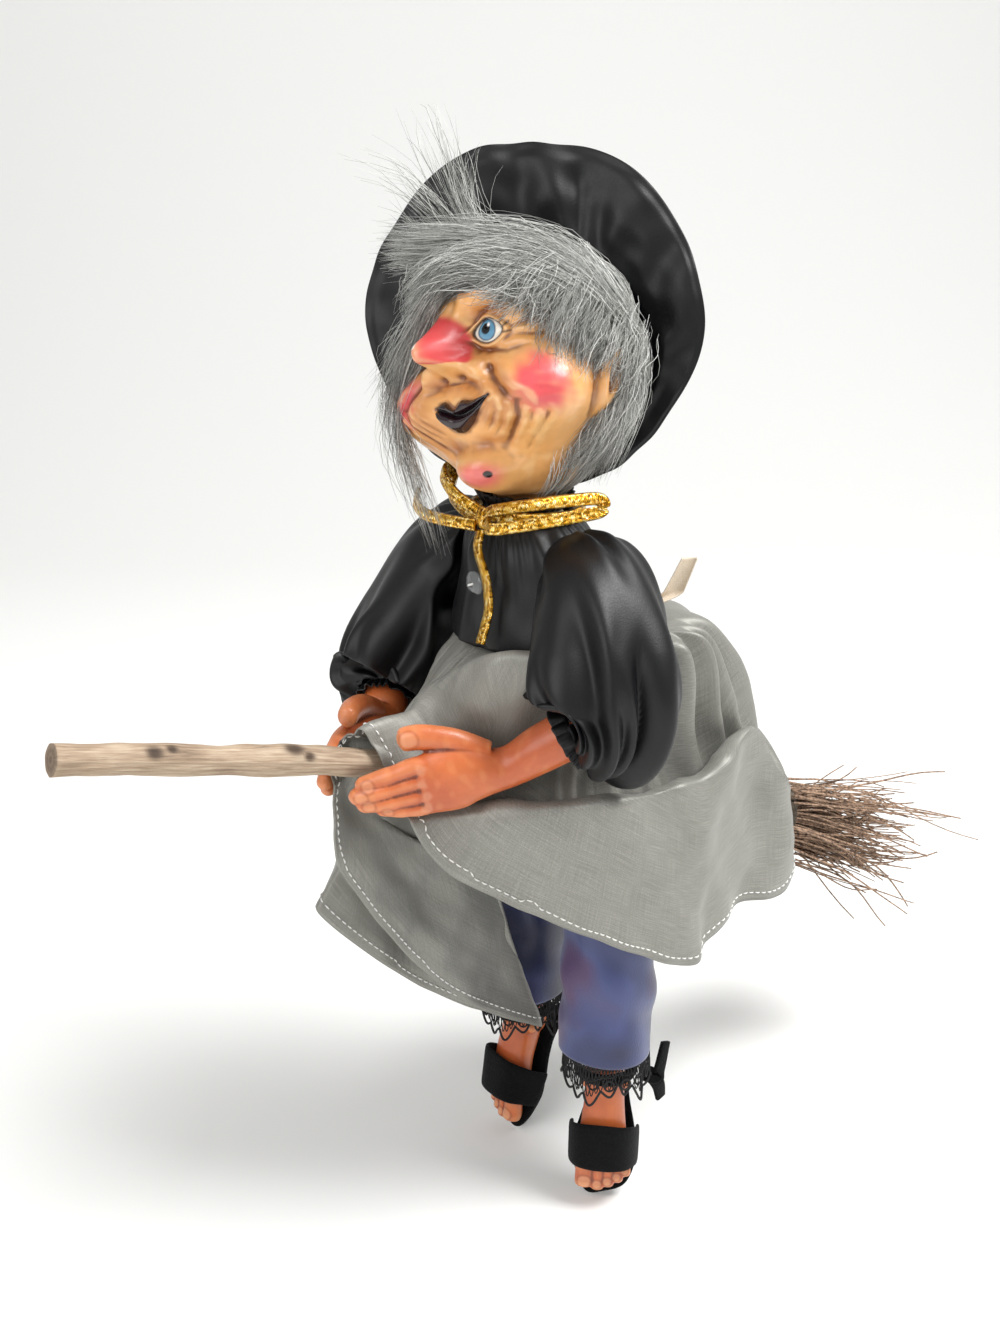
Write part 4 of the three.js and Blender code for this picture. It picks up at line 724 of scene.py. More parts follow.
def dress_body():
    """The stuffed torso, the blouse with its collar, and the button."""
    heights = np.linspace(SEAT_Z, -2, 60)
    rings = body_rings(heights, -0.3, 64)
    rings = rings + 0.25 * ripple(rings, 9, 3)[..., None] * unit(rings - rings.mean(1, keepdims=True))
    torso = make("calico_torso", *loft(rings), CALICO)
    settle(torso, "torso", "calico", "torso")

    # Blouse: drawn into fine gathers at the neck that open into long soft folds.
    # It hangs in a soft fold over the waistband at the front, so it goes down, back up and down again.
    tuck, hang = [-40.6, -41.5, -44, -47, -48.6, -49.4], np.linspace(-48.6, -2.6, 90)
    heights = np.concatenate([np.linspace(-62, -41, 12)[:-1], tuck, hang])
    sag = np.concatenate([np.zeros(11), [1.6, 2.9, 3.3, 3.6, 4.2, 5.0], 5.4 * fade(hang, -48, -22)])
    sides = 260
    angle = spokes(sides)
    way = (np.degrees(angle) + 270) % 360 - 180
    over = smooth(way, -120, -80) * fade(way, 84, 110)
    near = np.exp((heights + 3) / 11)[:, None]
    folds = 0.75 * near * wavy(angle, 34, 1) + (1.5 * (1 - near)) * wavy(angle, 10, 2)
    pressed = np.where(np.arange(len(heights)) < len(heights) - len(hang), 0.3, 1)[:, None]
    rings = body_rings(heights, BLOUSE_OUT + folds * pressed, sides)
    straight = body_rings(np.linspace(-62, -2.6, len(heights)), BLOUSE_OUT + folds, sides)
    rings = rings + sag[:, None, None] * unit((rings - rings.mean(1, keepdims=True)) * (1, 1, 0))
    rings = straight + (rings - straight) * over[:, None]
    # Placket: a doubled strip down the front, a little to the doll's right of the middle.
    off = np.abs(rings[..., 0] + 1.5)
    front = rings[..., 1] < -heights[:, None] * LEAN
    strip = 0.8 * fade(off, 4.6, 5.6) * front * smooth(-heights, 6, 16)[:, None]
    rings[..., 1] -= strip
    cut = rings + 0.35 * ripple(rings, 16, 5)[..., None] * unit(rings * (1, 1, 0))
    blouse = sewn("satin_blouse", cut, BLACK_SATIN, ("torso", "black_satin", "blouse"))

    # Collar: the gathered edge stands up in small uneven frills.
    up = np.linspace(0, 1, 14)[:, None]
    frill = wavy(angle, 24, 7)
    r = 12.9 + 3.9 * up**0.8 + frill * (0.2 + 0.9 * up)
    z = -2.5 + 6.2 * up + 0.5 * up * wavy(angle, 13, 8)
    rings = np.stack([r * np.cos(angle), r * np.sin(angle), z + 0 * r], -1)
    collar = sewn("satin_collar", rings, BLACK_SATIN, ("torso", "black_satin", "collar"), 0.6, 0)

    # Button: a clear dome with a rim and a dimple in the middle.
    front_y = -BUTTON_Z * LEAN - profile(TORSO_ROWS, BUTTON_Z)[1] - BLOUSE_OUT - GAP
    rows = [(0, 0.05), (4.3, 0.05), (4.8, 0.4), (4.9, 0.95), (4.6, 1.5), (3.9, 1.9), (3.1, 2.2)]
    rows += [(2.2, 2.5), (1.4, 2.6), (0.9, 2.3), (0.5, 2.1), (0.05, 2.05)]
    rows = curve([(r, h, 0) for r, h in rows], 60)
    turn = spokes(48)
    r, h = rows[:, :1], rows[:, 1:2]
    rings = np.stack([r * np.cos(turn) + BUTTON_X, front_y - h + 0 * turn, BUTTON_Z + r * np.sin(turn)], -1)
    button = make("clear_button", *loft(rings), BUTTON)
    settle(button, "torso", "clear_plastic", "button")
    # The white thread that holds the button shows through its middle.
    bar = [(-3.5, -2.5, -28.6), (-2.6, -2.9, -28.2), (-1.4, -2.9, -27.8), (-0.5, -2.5, -27.4)]
    bar = sweep(curve([(x, y + front_y, z) for x, y, z in bar], 12), 0.45, 0.45, (0, 0, 1), 8)
    settle(make("button_thread", *loft(bar), THREAD), "torso", "clear_plastic")


# Arms

ARMS = {
    "left": {
        "side": 1,
        "pleats": 0.27,
        "sleeve": [(24, 3, -13), (40, 0, -26), (50, -4, -46), (50, -13, -68)],
        "wrist": (34, -32, -83),
        "tip": (11, -80, -92),
    },
    "right": {
        "side": -1,
        "pleats": 0.18,
        "sleeve": [(-23, 1, -11), (-41, -2, -30), (-51, -11, -58), (-50, -29, -82)],
        "wrist": (-42, -37, -87),
        "tip": (-14, -77, -93),
    },
}
SLEEVE_R, CUFF_R, CUFF_IN = 26, 10.6, 7
SLEEVE_ROWS = [(0, 0.36), (0.12, 0.64), (0.35, 0.92), (0.6, 0.98), (0.8, 0.78), (1, CUFF_R / SLEEVE_R)]
WAIST_Z = -44


def clear_of_clothes(p, side, room):
    """Moves points sideways out of the blouse and the top of the skirt."""
    z = np.clip(p[..., 2], -80, -3)
    skirt = smooth(-z, -WAIST_Z - 18, -WAIST_Z - 4)
    rx, ry = profile(TORSO_ROWS, z)
    rx = rx + BLOUSE_OUT + 0.7 + skirt * 5.0
    ry = ry + BLOUSE_OUT + 0.7 + skirt * 11.4
    across = 1 - ((p[..., 1] + z * LEAN) / (ry + room)) ** 2
    limit = (rx + room) * np.sqrt(np.maximum(across, 0))
    p[..., 0] = np.where(p[..., 0] * side < limit, limit * side, p[..., 0])
    return p


def sleeve_route(arm, count):
    """The sleeve's middle line, which ends straight behind the hand."""
    cuff, wrist = np.array(arm["sleeve"][3], float), np.array(arm["wrist"], float)
    back = unit(cuff - wrist) * CUFF_IN
    return curve([*arm["sleeve"][:3], cuff + back, cuff], count)


def hand_frame(arm):
    """Places on the hand, by how far they lie forward, up and outwards, and its upward direction."""
    wrist, tip = np.array(arm["wrist"], float), np.array(arm["tip"], float)
    forward = unit(tip - wrist)
    up = unit(np.array([0, 0, 1]) - forward * forward[2])
    out = np.cross(up, forward) * arm["side"]
    return lambda f, u, o: wrist + forward * f + up * u - out * o, up


TAN = "#c96a38"
# Fingers: root across the hand, reach and place of the tip, and thickness.
FINGERS = [(7.6, 51, 4.4, 1), (2.6, 54, 0.6, 1.04), (-2.6, 52, -3, 1), (-7.4, 46, -6.4, 0.86)]
KNUCKLE, FINGER_R = 27, 3.3
# Half widths along a finger as shares of its radius, and along the forearm and the thumb.
FINGER_ROWS = [(0, 1), (0.3, 1.06), (0.45, 0.97), (0.55, 1.04), (0.75, 0.95), (0.92, 0.74), (1, 0.3)]
FOREARM_ROWS = [(0, 6.9, 6.9), (0.18, 8.6, 8.6), (0.4, 8.3, 8.1)]
FOREARM_ROWS += [(0.62, 7.4, 7), (0.82, 12, 6.4), (1, 10.6, 4.4)]
THUMB_ROWS = [(0, 5, 4.6), (0.35, 4.5, 4.1), (0.6, 4.5, 3.9), (0.85, 3.8, 3.3), (1, 1.4, 1.2)]


def make_hand(name, arm):
    """Forearm and hand, cast in one: limb, four fingers and thumb melt into each other."""
    at, up = hand_frame(arm)
    cuff, wrist = np.array(arm["sleeve"][3], float), np.array(arm["wrist"], float)
    inside = cuff + unit(cuff - wrist) * CUFF_IN
    limb = curve([inside, cuff, (cuff + wrist) / 2, wrist, at(15, 1, 0), at(KNUCKLE + 3, 0, 0)], 60)
    t = np.linspace(0, 1, 61)
    parts = [loft(sweep(limb, *profile(FOREARM_ROWS, t), up, 28))]
    tips = []
    for root, tip, lift, thick in FINGERS:
        line = [
            at(KNUCKLE - 7, root * 0.86, 0.4),
            at(KNUCKLE + 3, root, -0.5),
            at(KNUCKLE + 0.5 * (tip - KNUCKLE), 0.55 * root + 0.45 * lift, -0.2),
            at(tip - 4, lift, 1.6),
            at(tip + 0.4, lift, 2.6),
        ]
        r = FINGER_R * thick
        size = r * profile(FINGER_ROWS, np.linspace(0, 1, 41))[0]
        parts.append(loft(sweep(curve(line, 40), size, size, up, 16)))
        tips.append((at(tip - 3.4, lift, -r * 0.55), 2.5 * thick))
    line = [at(6, 6, 1), at(16, 13, 1), at(26, 16.5, 2.0), at(32, 16.8, 3.0), at(34.6, 16.8, 3.4)]
    size = profile(THUMB_ROWS, np.linspace(0, 1, 41))
    parts.append(loft(sweep(curve(line, 40), *size, up, 18)))
    tips.append((at(31, 17.2, -1.0), 3.4))
    hand = make(f"{name}_vinyl_hand", *bundle(parts), VINYL)
    modify(hand, "REMESH", mode="VOXEL", voxel_size=0.55 * MM)
    modify(hand, "SMOOTH", factor=0.5, iterations=4)
    p, deep = hollows(hand, 9)
    layers = [
        (0.5 + 0.5 * ripple(p, 22, 11), "#b4552b"),
        (0.2 * smooth(ripple(p, 7, 12), 0.2, 1.4), "#de955f"),
        # Painted shade: dark brown in the hollows, by how deep each vertex lies. Painted highlight, with
        # some wear: lighter on what stands out.
        (smooth(deep, 0.02, 0.16), "#6f2e12"),
        (0.5 * smooth(-deep, 0.05, 0.2), "#dc9160"),
    ]
    # Nails, and paint worn off the knuckles.
    for tip, size in tips:
        d = np.linalg.norm(p - tip, axis=1)
        layers += [(0.3 * fade(d, size * 0.6, size), "#d9a37a"), (0.4 * bell((d - size) / 0.45), "#85411f")]
    for root, _, _, _ in FINGERS:
        d = np.linalg.norm(p - at(KNUCKLE + 2, root * 0.95, -3.6), axis=1) + 0.5 * ripple(p, 4, 13)
        layers.append((0.25 * fade(d, 1.0, 2.6), "#e3b08c"))
    paint(hand, TAN, layers)
    settle(hand, f"{name}_arm", "tan_vinyl", f"{name}_forearm")


def dress_arm(name):
    """A puffed sleeve with its frill, the stuffed upper arm inside it, and the hand."""
    arm = ARMS[name]
    body = f"{name}_arm"
    rows, sides = 110, 200
    t = np.linspace(0, 1, rows)[:, None]
    route = sleeve_route(arm, rows - 1)
    ahead = route[-1] + unit(np.array(arm["wrist"]) - route[-1]) * SLEEVE_R
    _, wide, up = directions(np.vstack([route, ahead]), (0, 1, 0))
    angle = spokes(sides)
    # Folds: many short gathers at the cuff that run together into a few deep ones up the sleeve.
    drawn = smooth(t, 0.36, 0.92)
    lean = angle + 0.5 * (t - 0.5)
    pleats = 2 * np.sqrt(np.maximum(0.5 + 0.5 * wavy(angle + 0.15 * np.sin(9 * t), 13, 21), 0)) - 1.2
    folds = arm["pleats"] * drawn * pleats + 0.15 * smooth(t, 0.15, 0.6) * wavy(lean, 6, 22)
    shoulder = 0.12 * fade(t, 0.0, 0.35) * wavy(angle + 0 * t, 9, 23)
    folds = folds + 0.05 * np.sin(3 * lean + 5 * t) + shoulder
    r = profile(SLEEVE_ROWS, t[:, 0])[0][:, None] * SLEEVE_R * (1 + folds)
    out = wide[:-1, None] * np.cos(angle)[:, None] + up[:-1, None] * np.sin(angle)[:, None]
    rings = route[:, None] + r[..., None] * out
    free = rings.copy()
    rings = clear_of_clothes(rings, arm["side"], 2 * GAP)
    # Where the sleeve lies against the blouse its corners are rounded off.
    pressed = smooth(np.linalg.norm(rings - free, axis=-1), 0.0, 1.0)[..., None]
    for _ in range(16):
        beside = (np.roll(pressed, 1, 1) + np.roll(pressed, -1, 1)) / 2
        pressed[1:-1] = np.maximum(pressed, beside)[1:-1]
    for _ in range(14):
        even = (np.roll(rings, 2, 1) + np.roll(rings, -2, 1)) / 2
        even[1:-1] = (even[1:-1] + (rings[2:] + rings[:-2]) / 2) / 2
        rings[1:-1] = (rings + 0.5 * pressed * (even - rings))[1:-1]
    cuff_in = route[-1] + 0.985 * (rings[-1] - route[-1]) * 0.93 + unit(ahead - route[-1]) * 1.2
    cut = np.concatenate([rings, cuff_in[None]])
    sleeve = sewn(f"{name}_satin_sleeve", cut, BLACK_SATIN, (body, "black_satin", f"{name}_sleeve"))

    # Frill below the elastic of the cuff.
    along = unit(ahead - route[-1])
    s = np.linspace(0, 1, 12)[:, None]
    r = 9.8 + 2.0 * s**0.7 + wavy(angle, 17, 24) * (0.25 + 1.0 * s)
    centre = route[-1] + along * (0.6 + 5.6 * s)
    rings = centre[:, None] + r[..., None] * out[-1]
    place = (body, "black_satin", f"{name}_cuff_frill")
    frill = sewn(f"{name}_satin_frill", rings, BLACK_SATIN, place, offset=0)

    line = sleeve_route(arm, 50)[10:31]
    size = 7.9 * profile([(0, 0.6), (0.2, 1), (0.8, 0.95), (1, 0.55)], np.linspace(0, 1, 21))[0]
    rings = clear_of_clothes(sweep(line, size, size, (0, 1, 0), 32), arm["side"], 5 * GAP + SATIN_WALL)
    upper = make(f"{name}_calico_arm", *loft(rings), CALICO)
    settle(upper, body, "calico", f"{name}_upper_arm")
    make_hand(name, arm)


# Skirt

HEM_WIDE, STITCH_STEP = 4.0, 3.0
# Lines down the skirt: angle from the front, and where it lies at the hip, on its crest and at the hem.
SKIRT_LINES = [
    (0, (0, -46, -66), (0, -60, -69), (0, -71, -73)),
    (22, (12, -43, -80), (12, -55, -86), (10, -64, -88)),
    (50, (20, -30, -88), (30, -38, -98), (27, -53, -119)),
    (82, (36, -4, -92), (56, -8, -95), (46, -10, -147)),
    (104, (41, 20, -90), (60, 20, -95), (50, 24, -167)),
    (115, (43, 32, -88), (60, 34, -95), (52, 42, -174)),
    (121, (43, 42, -87), (57, 48, -91), (49, 50, -168.5)),
    (132, (42, 58, -85), (48, 69, -88), (42.5, 74, -163)),
    (148, (38, 78, -85), (43, 97, -118), (38, 106, -163)),
    (180, (0, 86, -76), (0, 110, -100), (0, 129, -128)),
    (212, (-38, 78, -85), (-43, 97, -118), (-38, 106, -163)),
    (255, (-44, 26, -85), (-54, 32, -125), (-54, 36, -172)),
    (290, (-30, -18, -90), (-48, -34, -126), (-47, -40, -166)),
    (314, (-13, -34, -88), (-21, -60, -118), (-20, -79, -146)),
    (326, (-10, -41, -88), (-13, -40, -126), (-13, -36, -190)),
    (335, (-9, -47, -88), (-5, -12, -138), (-1, 9, -216)),
    (344, (-9, -54, -88), (-6, -46, -120), (1, -38, -181)),
    (352, (-8, -62, -86), (-8, -71, -98), (-3, -78, -120)),
]


def waist_points(angle, grow, drop):
    """Places round the waist, by their angle from the front in degrees."""
    a = np.radians(angle) - np.pi / 2
    rx, ry = (r + BLOUSE_OUT for r in profile(TORSO_ROWS, WAIST_Z))
    x = (rx + grow) * np.cos(a)
    y = -WAIST_Z * LEAN + (ry + grow) * np.sin(a)
    return np.stack([x, y, WAIST_Z + 0.13 * y - drop], -1)


def skirt_bars():
    """What the skirt lies on, as round bars: start, end, radius."""
    bars = [(stick_axis[i], stick_axis[i + 3], STICK_R + 1.6) for i in range(0, 22, 3)]
    for arm in ARMS.values():
        at, _ = hand_frame(arm)
        cuff, wrist = np.array(arm["sleeve"][3], float), np.array(arm["wrist"], float)
        bars += [
            (cuff + unit(cuff - wrist) * 2 * CUFF_IN, cuff, CUFF_R + 1.4),
            (cuff, wrist, 9.6),
            (wrist, at(46, 0, 0), 7.4),
            (at(8, 8, 0), at(44, 5, 0), 6.4),
            (at(12, 14, 1), at(33, 17, 3), 5),
            (at(12, -7, 0), at(44, -6, 0), 5.4),
        ]
    bars += [(np.array([x, 20.0, -108]), np.array([x, 20.0, -176]), 18.6) for x in (28.0, -28.0)]
    return bars


def pushed_out(p, bars, room):
    """Points moved out of the bars, with some room to spare."""
    for a, b, r in bars:
        along = b - a
        t = np.clip(((p - a) @ along) / (along @ along), 0, 1)
        away = p - (a + t[..., None] * along)
        far = np.linalg.norm(away, axis=-1, keepdims=True)
        p = p + np.maximum(r + room - far, 0) * away / np.maximum(far, 1e-6)
    return p


def falls(points, count):
    """Smooth lines through rows of points, one line a column, with even steps along each."""
    k, n = points.shape[:2]
    steps = np.linalg.norm(np.diff(points, axis=0), axis=-1) ** 0.5
    knot = np.concatenate([np.zeros((1, n)), np.cumsum(steps, 0)])
    slope = np.empty_like(points)
    for i in range(k):
        low, high = max(i - 1, 0), min(i + 1, k - 1)
        slope[i] = (points[high] - points[low]) / (knot[high] - knot[low])[:, None]
    dense = []
    for i in range(k - 1):
        span = (knot[i + 1] - knot[i])[:, None]
        for f in np.linspace(0, 1, 30, endpoint=i == k - 2):
            a = (2 * f**3 - 3 * f**2 + 1) * points[i] + (f**3 - 2 * f**2 + f) * span * slope[i]
            dense.append(a + (3 * f**2 - 2 * f**3) * points[i + 1] + (f**3 - f**2) * span * slope[i + 1])
    dense = np.array(dense)
    run = lengths(dense.transpose(1, 0, 2))
    rows = np.empty((count + 1, n, 3))
    for j in range(n):
        want = np.linspace(0, run[j, -1], count + 1)
        for axis in range(3):
            rows[:, j, axis] = np.interp(want, run[j], dense[:, j, axis])
    return rows


def cloth_normals(rows):
    """Directions square to the cloth."""
    around = np.roll(rows, -1, 1) - np.roll(rows, 1, 1)
    return unit(np.cross(around, np.gradient(rows, axis=0)))


def hang_skirt():
    """The draped skirt with its hem stitches, the waistband and the care tag."""
    count, down = 380, 90
    t = np.arange(count) / count * len(SKIRT_LINES)
    angle = np.interp(t, np.arange(len(SKIRT_LINES) + 1), [line[0] for line in SKIRT_LINES] + [360])
    drawn, crest, hem = (curve([line[k] for line in SKIRT_LINES], count, closed=True) for k in (1, 2, 3))
    stand = 2.6 + (9 - 2.6) * np.cos(np.radians(angle)) ** 2
    top = waist_points(angle, 1.2, 4.3)
    hip = waist_points(angle, stand, 10.5) * 0.86 + drawn * 0.14
    # The lifted side sags into a pocket behind its crest.
    lifted = smooth(angle, 38, 60) * fade(angle, 124, 146)
    pocket = drawn * 0.5 + crest * 0.5
    pocket[:, 2] = np.minimum(pocket[:, 2], crest[:, 2] + (2 - 17 * lifted))
    crest = crest + np.array([0, 0, 1]) * (2 * lifted)[:, None]
    # A puff of cloth stands up over the lap beside the arm and hides the waistband there.
    way = (angle + 180) % 360 - 180
    puff = smooth(way, -6, 36) * fade(way, 48, 92)
    hip = hip + puff[:, None] * (unit(hip * (1, 1, 0)) * 12 + np.array([0, 0, 16]))
    # At the back the gathered cloth stands well out from the waist.
    bustle = smooth(angle, 98, 128) * fade(angle, 165, 200)
    hip = hip + bustle[:, None] * (unit(hip * (1, 1, 0)) * 15 + np.array([0, 0, 7]))
    # The crest is a round roll of cloth, so it has a near and a far side.
    inward, held = unit((drawn - crest) * (1, 1, 0)), lifted[:, None]
    near = crest + (1 - held) * 0.12 * (pocket - crest) + held * (3.4 * inward - np.array([0, 0, 1.0]))
    far = crest + (1 - held) * 0.06 * (hem - crest) - held * (3.0 * inward + np.array([0, 0, 2.6]))
    rows = falls(np.stack([top, hip, drawn, pocket, near, crest, far, hem]), down)
    s = np.linspace(0, 1, down + 1)[:, None]
    turn = spokes(count)
    out = unit((rows - np.stack([0 * rows[..., 0], -rows[..., 2] * LEAN, rows[..., 2]], -1)) * (1, 1, 0))
    flank = smooth(angle, 60, 80) * fade(angle, 150, 180)
    gathers = smooth(s, 0, 0.1) * fade(s - 0.1 * flank, 0.22, 0.5)
    gathers = gathers * (0.4 + wavy(turn, 26, 31)) * (1 - 0.7 * puff)
    rows = rows + ((2.3 + 1.6 * flank) * gathers)[..., None] * out
    rows = pushed_out(rows, skirt_bars(), 2.2)
    normal = cloth_normals(rows)
    soft = 1.15 * ripple(rows, 30, 33) + 0.2 * ripple(rows, 12, 34)
    rows = rows + (soft * smooth(s, 0.15, 0.5))[..., None] * normal
    normal = cloth_normals(rows)
    faces, corners = grid(down + 1, count, True)
    run = lengths(rows.transpose(1, 0, 2)).T
    run = np.concatenate([run, run[:, :1]], 1)
    around = np.broadcast_to(np.linspace(0, 640, count + 1), run.shape)
    uv = np.stack([around, run - run[-1]], -1).reshape(-1, 2)[corners.ravel()]
    skirt = make("taffeta_skirt", rows, faces, GREY_TAFFETA, uv)
    modify(skirt, "SOLIDIFY", thickness=0.6 * MM, offset=0)
    settle(skirt, "torso", "grey_taffeta", "skirt")

    # Hem: white running stitches on both faces of the cloth.
    half = [0.18, 0.3, 0.3, 0.18]
    line, face = [], []
    for j in range(count):
        away = run[-1, j] - run[:, j]
        i = int(np.argmin(np.abs(away - HEM_WIDE)))
        line.append(rows[i, j])
        face.append(normal[i, j])
    line, face = np.array(line), np.array(face)
    loop = np.vstack([line, line[:1]])
    dist = lengths(loop)
    stitches = []
    for at in np.arange(0, dist[-1] - 1, STITCH_STEP):
        seat = [np.interp(at + d, dist, loop[:, axis]) for d in (0, 0.7, 1.4, 2.1) for axis in range(3)]
        seat = np.array(seat).reshape(4, 3)
        lift = np.array([np.interp(at, dist[:-1], face[:, axis]) for axis in range(3)])
        for sign in (1, -1):
            rise = np.array([0.2, 0.55, 0.55, 0.2])[:, None] * unit(lift) * sign
            stitches.append(loft(sweep(seat + rise, half, half, (0.3, 0.2, 1), 5)))
    seam = make("hem_stitches", *bundle(stitches), THREAD)
    settle(seam, "torso", "grey_taffeta")

    # Waistband: a narrow doubled band, wrinkled by what hangs from it.
    ring = waist_points(np.linspace(0, 360, 240, endpoint=False), GAP + 0.7 + 0.8, 0)
    ring = ring + 0.25 * ripple(ring, 9, 36)[:, None] * unit(ring * (1, 1, 0))
    rings = sweep(ring, 3.4, 0.8, (0, 0, 1), 14, closed=True, corner=0.6)
    points, faces, uv = skin(rings, np.arange(15) * 1.2, closed=True)
    band = make("taffeta_waistband", points, faces, GREY_TAFFETA, uv[:, ::-1])
    settle(band, "torso", "grey_taffeta", "waistband")

    # Care tag: a cream tape sewn in at the back and curled by handling; it is left blank.
    seam_at = waist_points(np.array([138.0]), GAP + 0.7 + 1.6 + 2 * GAP, 0)[0]
    up = np.linspace(0, 1, 30)[:, None]
    w = np.linspace(-1, 1, 24)
    spine = seam_at + np.array([4, 9, -1]) * smooth(up, 0, 0.4) + up * np.array([4, 8, 20])
    across = unit(np.array([0.57, 0.82, 0.0]))
    curl = 1.15 + 0.7 * up
    a = w * curl
    flat = 5.0 / np.maximum(curl, 1e-6)
    face_out = unit(np.array([0.82, -0.57, 0.2]))
    tag = spine[:, None] + (flat * np.sin(a))[..., None] * across
    tag = tag + (flat * (np.cos(a) - 1))[..., None] * -face_out
    made = make("cream_care_tag", tag, grid(30, 24, False)[0], TAPE)
    modify(made, "SOLIDIFY", thickness=0.4 * MM, offset=0)
    settle(made, "torso", "cream_tape", "care_tag")


# Broom

# Knots of the stick: run from its front end, angle above the doll's left side in degrees, and width.
STICK_KNOTS = [
    (31, 40, 3.4),
    (37, 52, 2.4),
    (81, 62, 4.4),
    (86, 30, 2.6),
    (128, 70, 3.6),
    (150, 200, 4.0),
    (215, 120, 4.5),
]
TWIGS, STRAYS, TWIG_STEPS, TWIG_LONG = 280, 26, 14, 88
WIRE_R, WIRE_COIL_R, WIRE_TURNS = 0.42, 14.9, 11


def make_broom():
    """The stick, the twigs and the wire that binds them."""
    axis = curve(STICK, 330)
    run = lengths(axis)
    sides = 44
    size = STICK_R * (0.97 + 0.03 * np.sin(9 * np.linspace(0, 1, 331)))
    rings = sweep(axis, size, size, (1, 0, 0), sides)
    out = unit(rings - axis[:, None])
    bump = 0.16 * ripple(rings * (1, 0.08, 1), 3.4, 41) + 0.3 * ripple(rings, 30, 42)
    dark = np.zeros(rings.shape[:2])
    angle = spokes(sides)
    level = np.degrees(np.arctan2(out[..., 2], out[..., 0]))
    for place, way, width in STICK_KNOTS:
        aside = np.radians((level - way + 180) % 360 - 180) * STICK_R
        far = np.hypot((run[:, None] - place) * 0.7, aside)
        bump = bump + 0.9 * bell(far / width) - 0.7 * bell(far / (0.45 * width))
        dark = np.maximum(dark, bell(far / (0.62 * width), 4))
    rings = rings + bump[..., None] * out
    # Sawn end: a few rings inwards, rough from the saw and cracked.
    ends = []
    for at, sign in ((0, -1), (-1, 1)):
        centre = rings[at].mean(0)
        bulge = unit(axis[at] - axis[at - sign]) * 0.25
        caps = [centre + (rings[at] - centre) * f + bulge * (1 - f) for f in (0.97, 0.8, 0.55, 0.3, 0.1)]
        ends.append(np.array(caps[::-1] if at == 0 else caps))
    rings = np.concatenate([ends[0], rings, ends[1]])
    points, faces, uv = skin(rings, np.append(angle * STICK_R, 0))
    stick = make("branch_handle", points, faces, WOOD, uv)
    shade = np.zeros((len(rings), sides))
    shade[5:-5] = dark
    shade[:5] = np.array([0.9, 0.55, 0.75, 0.5, 0.4])[:, None]
    shade = np.append(shade.ravel(), [0.6, 0.6])
    paint(stick, "#ffffff", [(0.9 * shade, "#4a3424")])
    settle(stick, "torso", "bare_wood", "broom_handle")

    # Twigs: fine and dry, spreading from the binding, crossing and curling at their ends.
    root = stick_axis[-1]
    along = unit(stick_axis[-1] - stick_axis[-4])
    across = unit(np.array([1, 0, 0]) - along * along[0])
    up = np.cross(across, along)
    rng = np.random.default_rng(7)
    n = TWIGS
    share = np.sqrt(rng.uniform(0, 1, n))
    share[:STRAYS] = rng.uniform(1.1, 1.75, STRAYS)
    turn = rng.uniform(0, 2 * np.pi, n)
    long = TWIG_LONG * rng.uniform(0.55, 1.0, n)
    long[:STRAYS] = rng.uniform(78, 99, STRAYS)
    s = np.linspace(0, 1, TWIG_STEPS)
    start_r, end_r = 12.6, 25 * rng.uniform(0.7, 1.05, n)
    spread = share[:, None] * (start_r + (end_r[:, None] - start_r) * s**1.3)
    a = turn[:, None] + rng.normal(0, 0.5, n)[:, None] * s**1.5
    wob = rng.normal(0, 1.0, (n, 2, 3))
    sway = 0
    for i in range(3):
        phase = (i + 1) * 2.1 * s + wob[:, :1, (i + 1) % 3, None]
        sway = sway + wob[:, :, i, None] * np.sin(phase)
    crook = 0.35 * np.sin(11 * s + 6 * wob[:, :, 0, None]) * smooth(s, 0.05, 0.3)
    stray = np.zeros((n, 2, 1))
    stray[:STRAYS, :, 0] = rng.normal(0, 8, (STRAYS, 2))
    sway = 2.2 * (sway * s) + crook + stray * s**2.4
    c = spread * np.cos(a) + sway[:, 0]
    d = 0.9 * spread * np.sin(a) + sway[:, 1]
    reach = 2 + (7 + long[:, None]) * s
    paths = root + reach[..., None] * along + c[..., None] * across + d[..., None] * up
    thick = rng.uniform(0.4, 0.72, n)[:, None] * (1 - 0.45 * s)
    twigs = make("dry_twigs", *strands(paths, thick), TWIG)
    settle(twigs, "torso", "twig_bark", "broom_twigs")

    # Binding: turns of dull wire, drawn tight round the roots of the twigs.
    turns = np.linspace(0, WIRE_TURNS * 2 * np.pi, WIRE_TURNS * 26)
    coil = root + np.outer(0.9 + 7.6 * turns / turns[-1], along)
    coil = coil + WIRE_COIL_R * (np.outer(np.cos(turns), across) + np.outer(np.sin(turns), up))
    wire = make("wound_wire", *loft(sweep(coil, WIRE_R, WIRE_R, along, 8)), WIRE)
    core = root + np.outer(np.linspace(0.6, 9, 14), along)
    plug = make("twig_roots", *loft(sweep(core, 13.8, 13.8, across, 40)), TWIG)
    settle(plug, "torso", "twig_bark")
    settle(wire, "torso", "binding_wire", "broom_binding")


# Head

HEAD_TURN = 10
# Outline of the bare head: height, half width, and depth before and behind the axis.
HEAD_ROWS = [
    (-1, 11.5, 11.5, 11.5),
    (4, 12, 12.4, 12),
    (8, 17.5, 21, 15),
    (14, 23, 25.5, 19),
    (22, 27, 28, 24),
    (32, 30, 29, 29),
    (44, 32, 30, 33),
    (56, 33, 30, 35),
    (68, 32, 30.5, 34),
    (78, 27, 27, 29),
    (85, 16, 15.5, 17.5),
    (88, 3, 3, 3),
]
NOSE_LONG, FACE_ROLL, FACE_MIDDLE, FACE_ARC = 19, math.radians(13), 45, 30
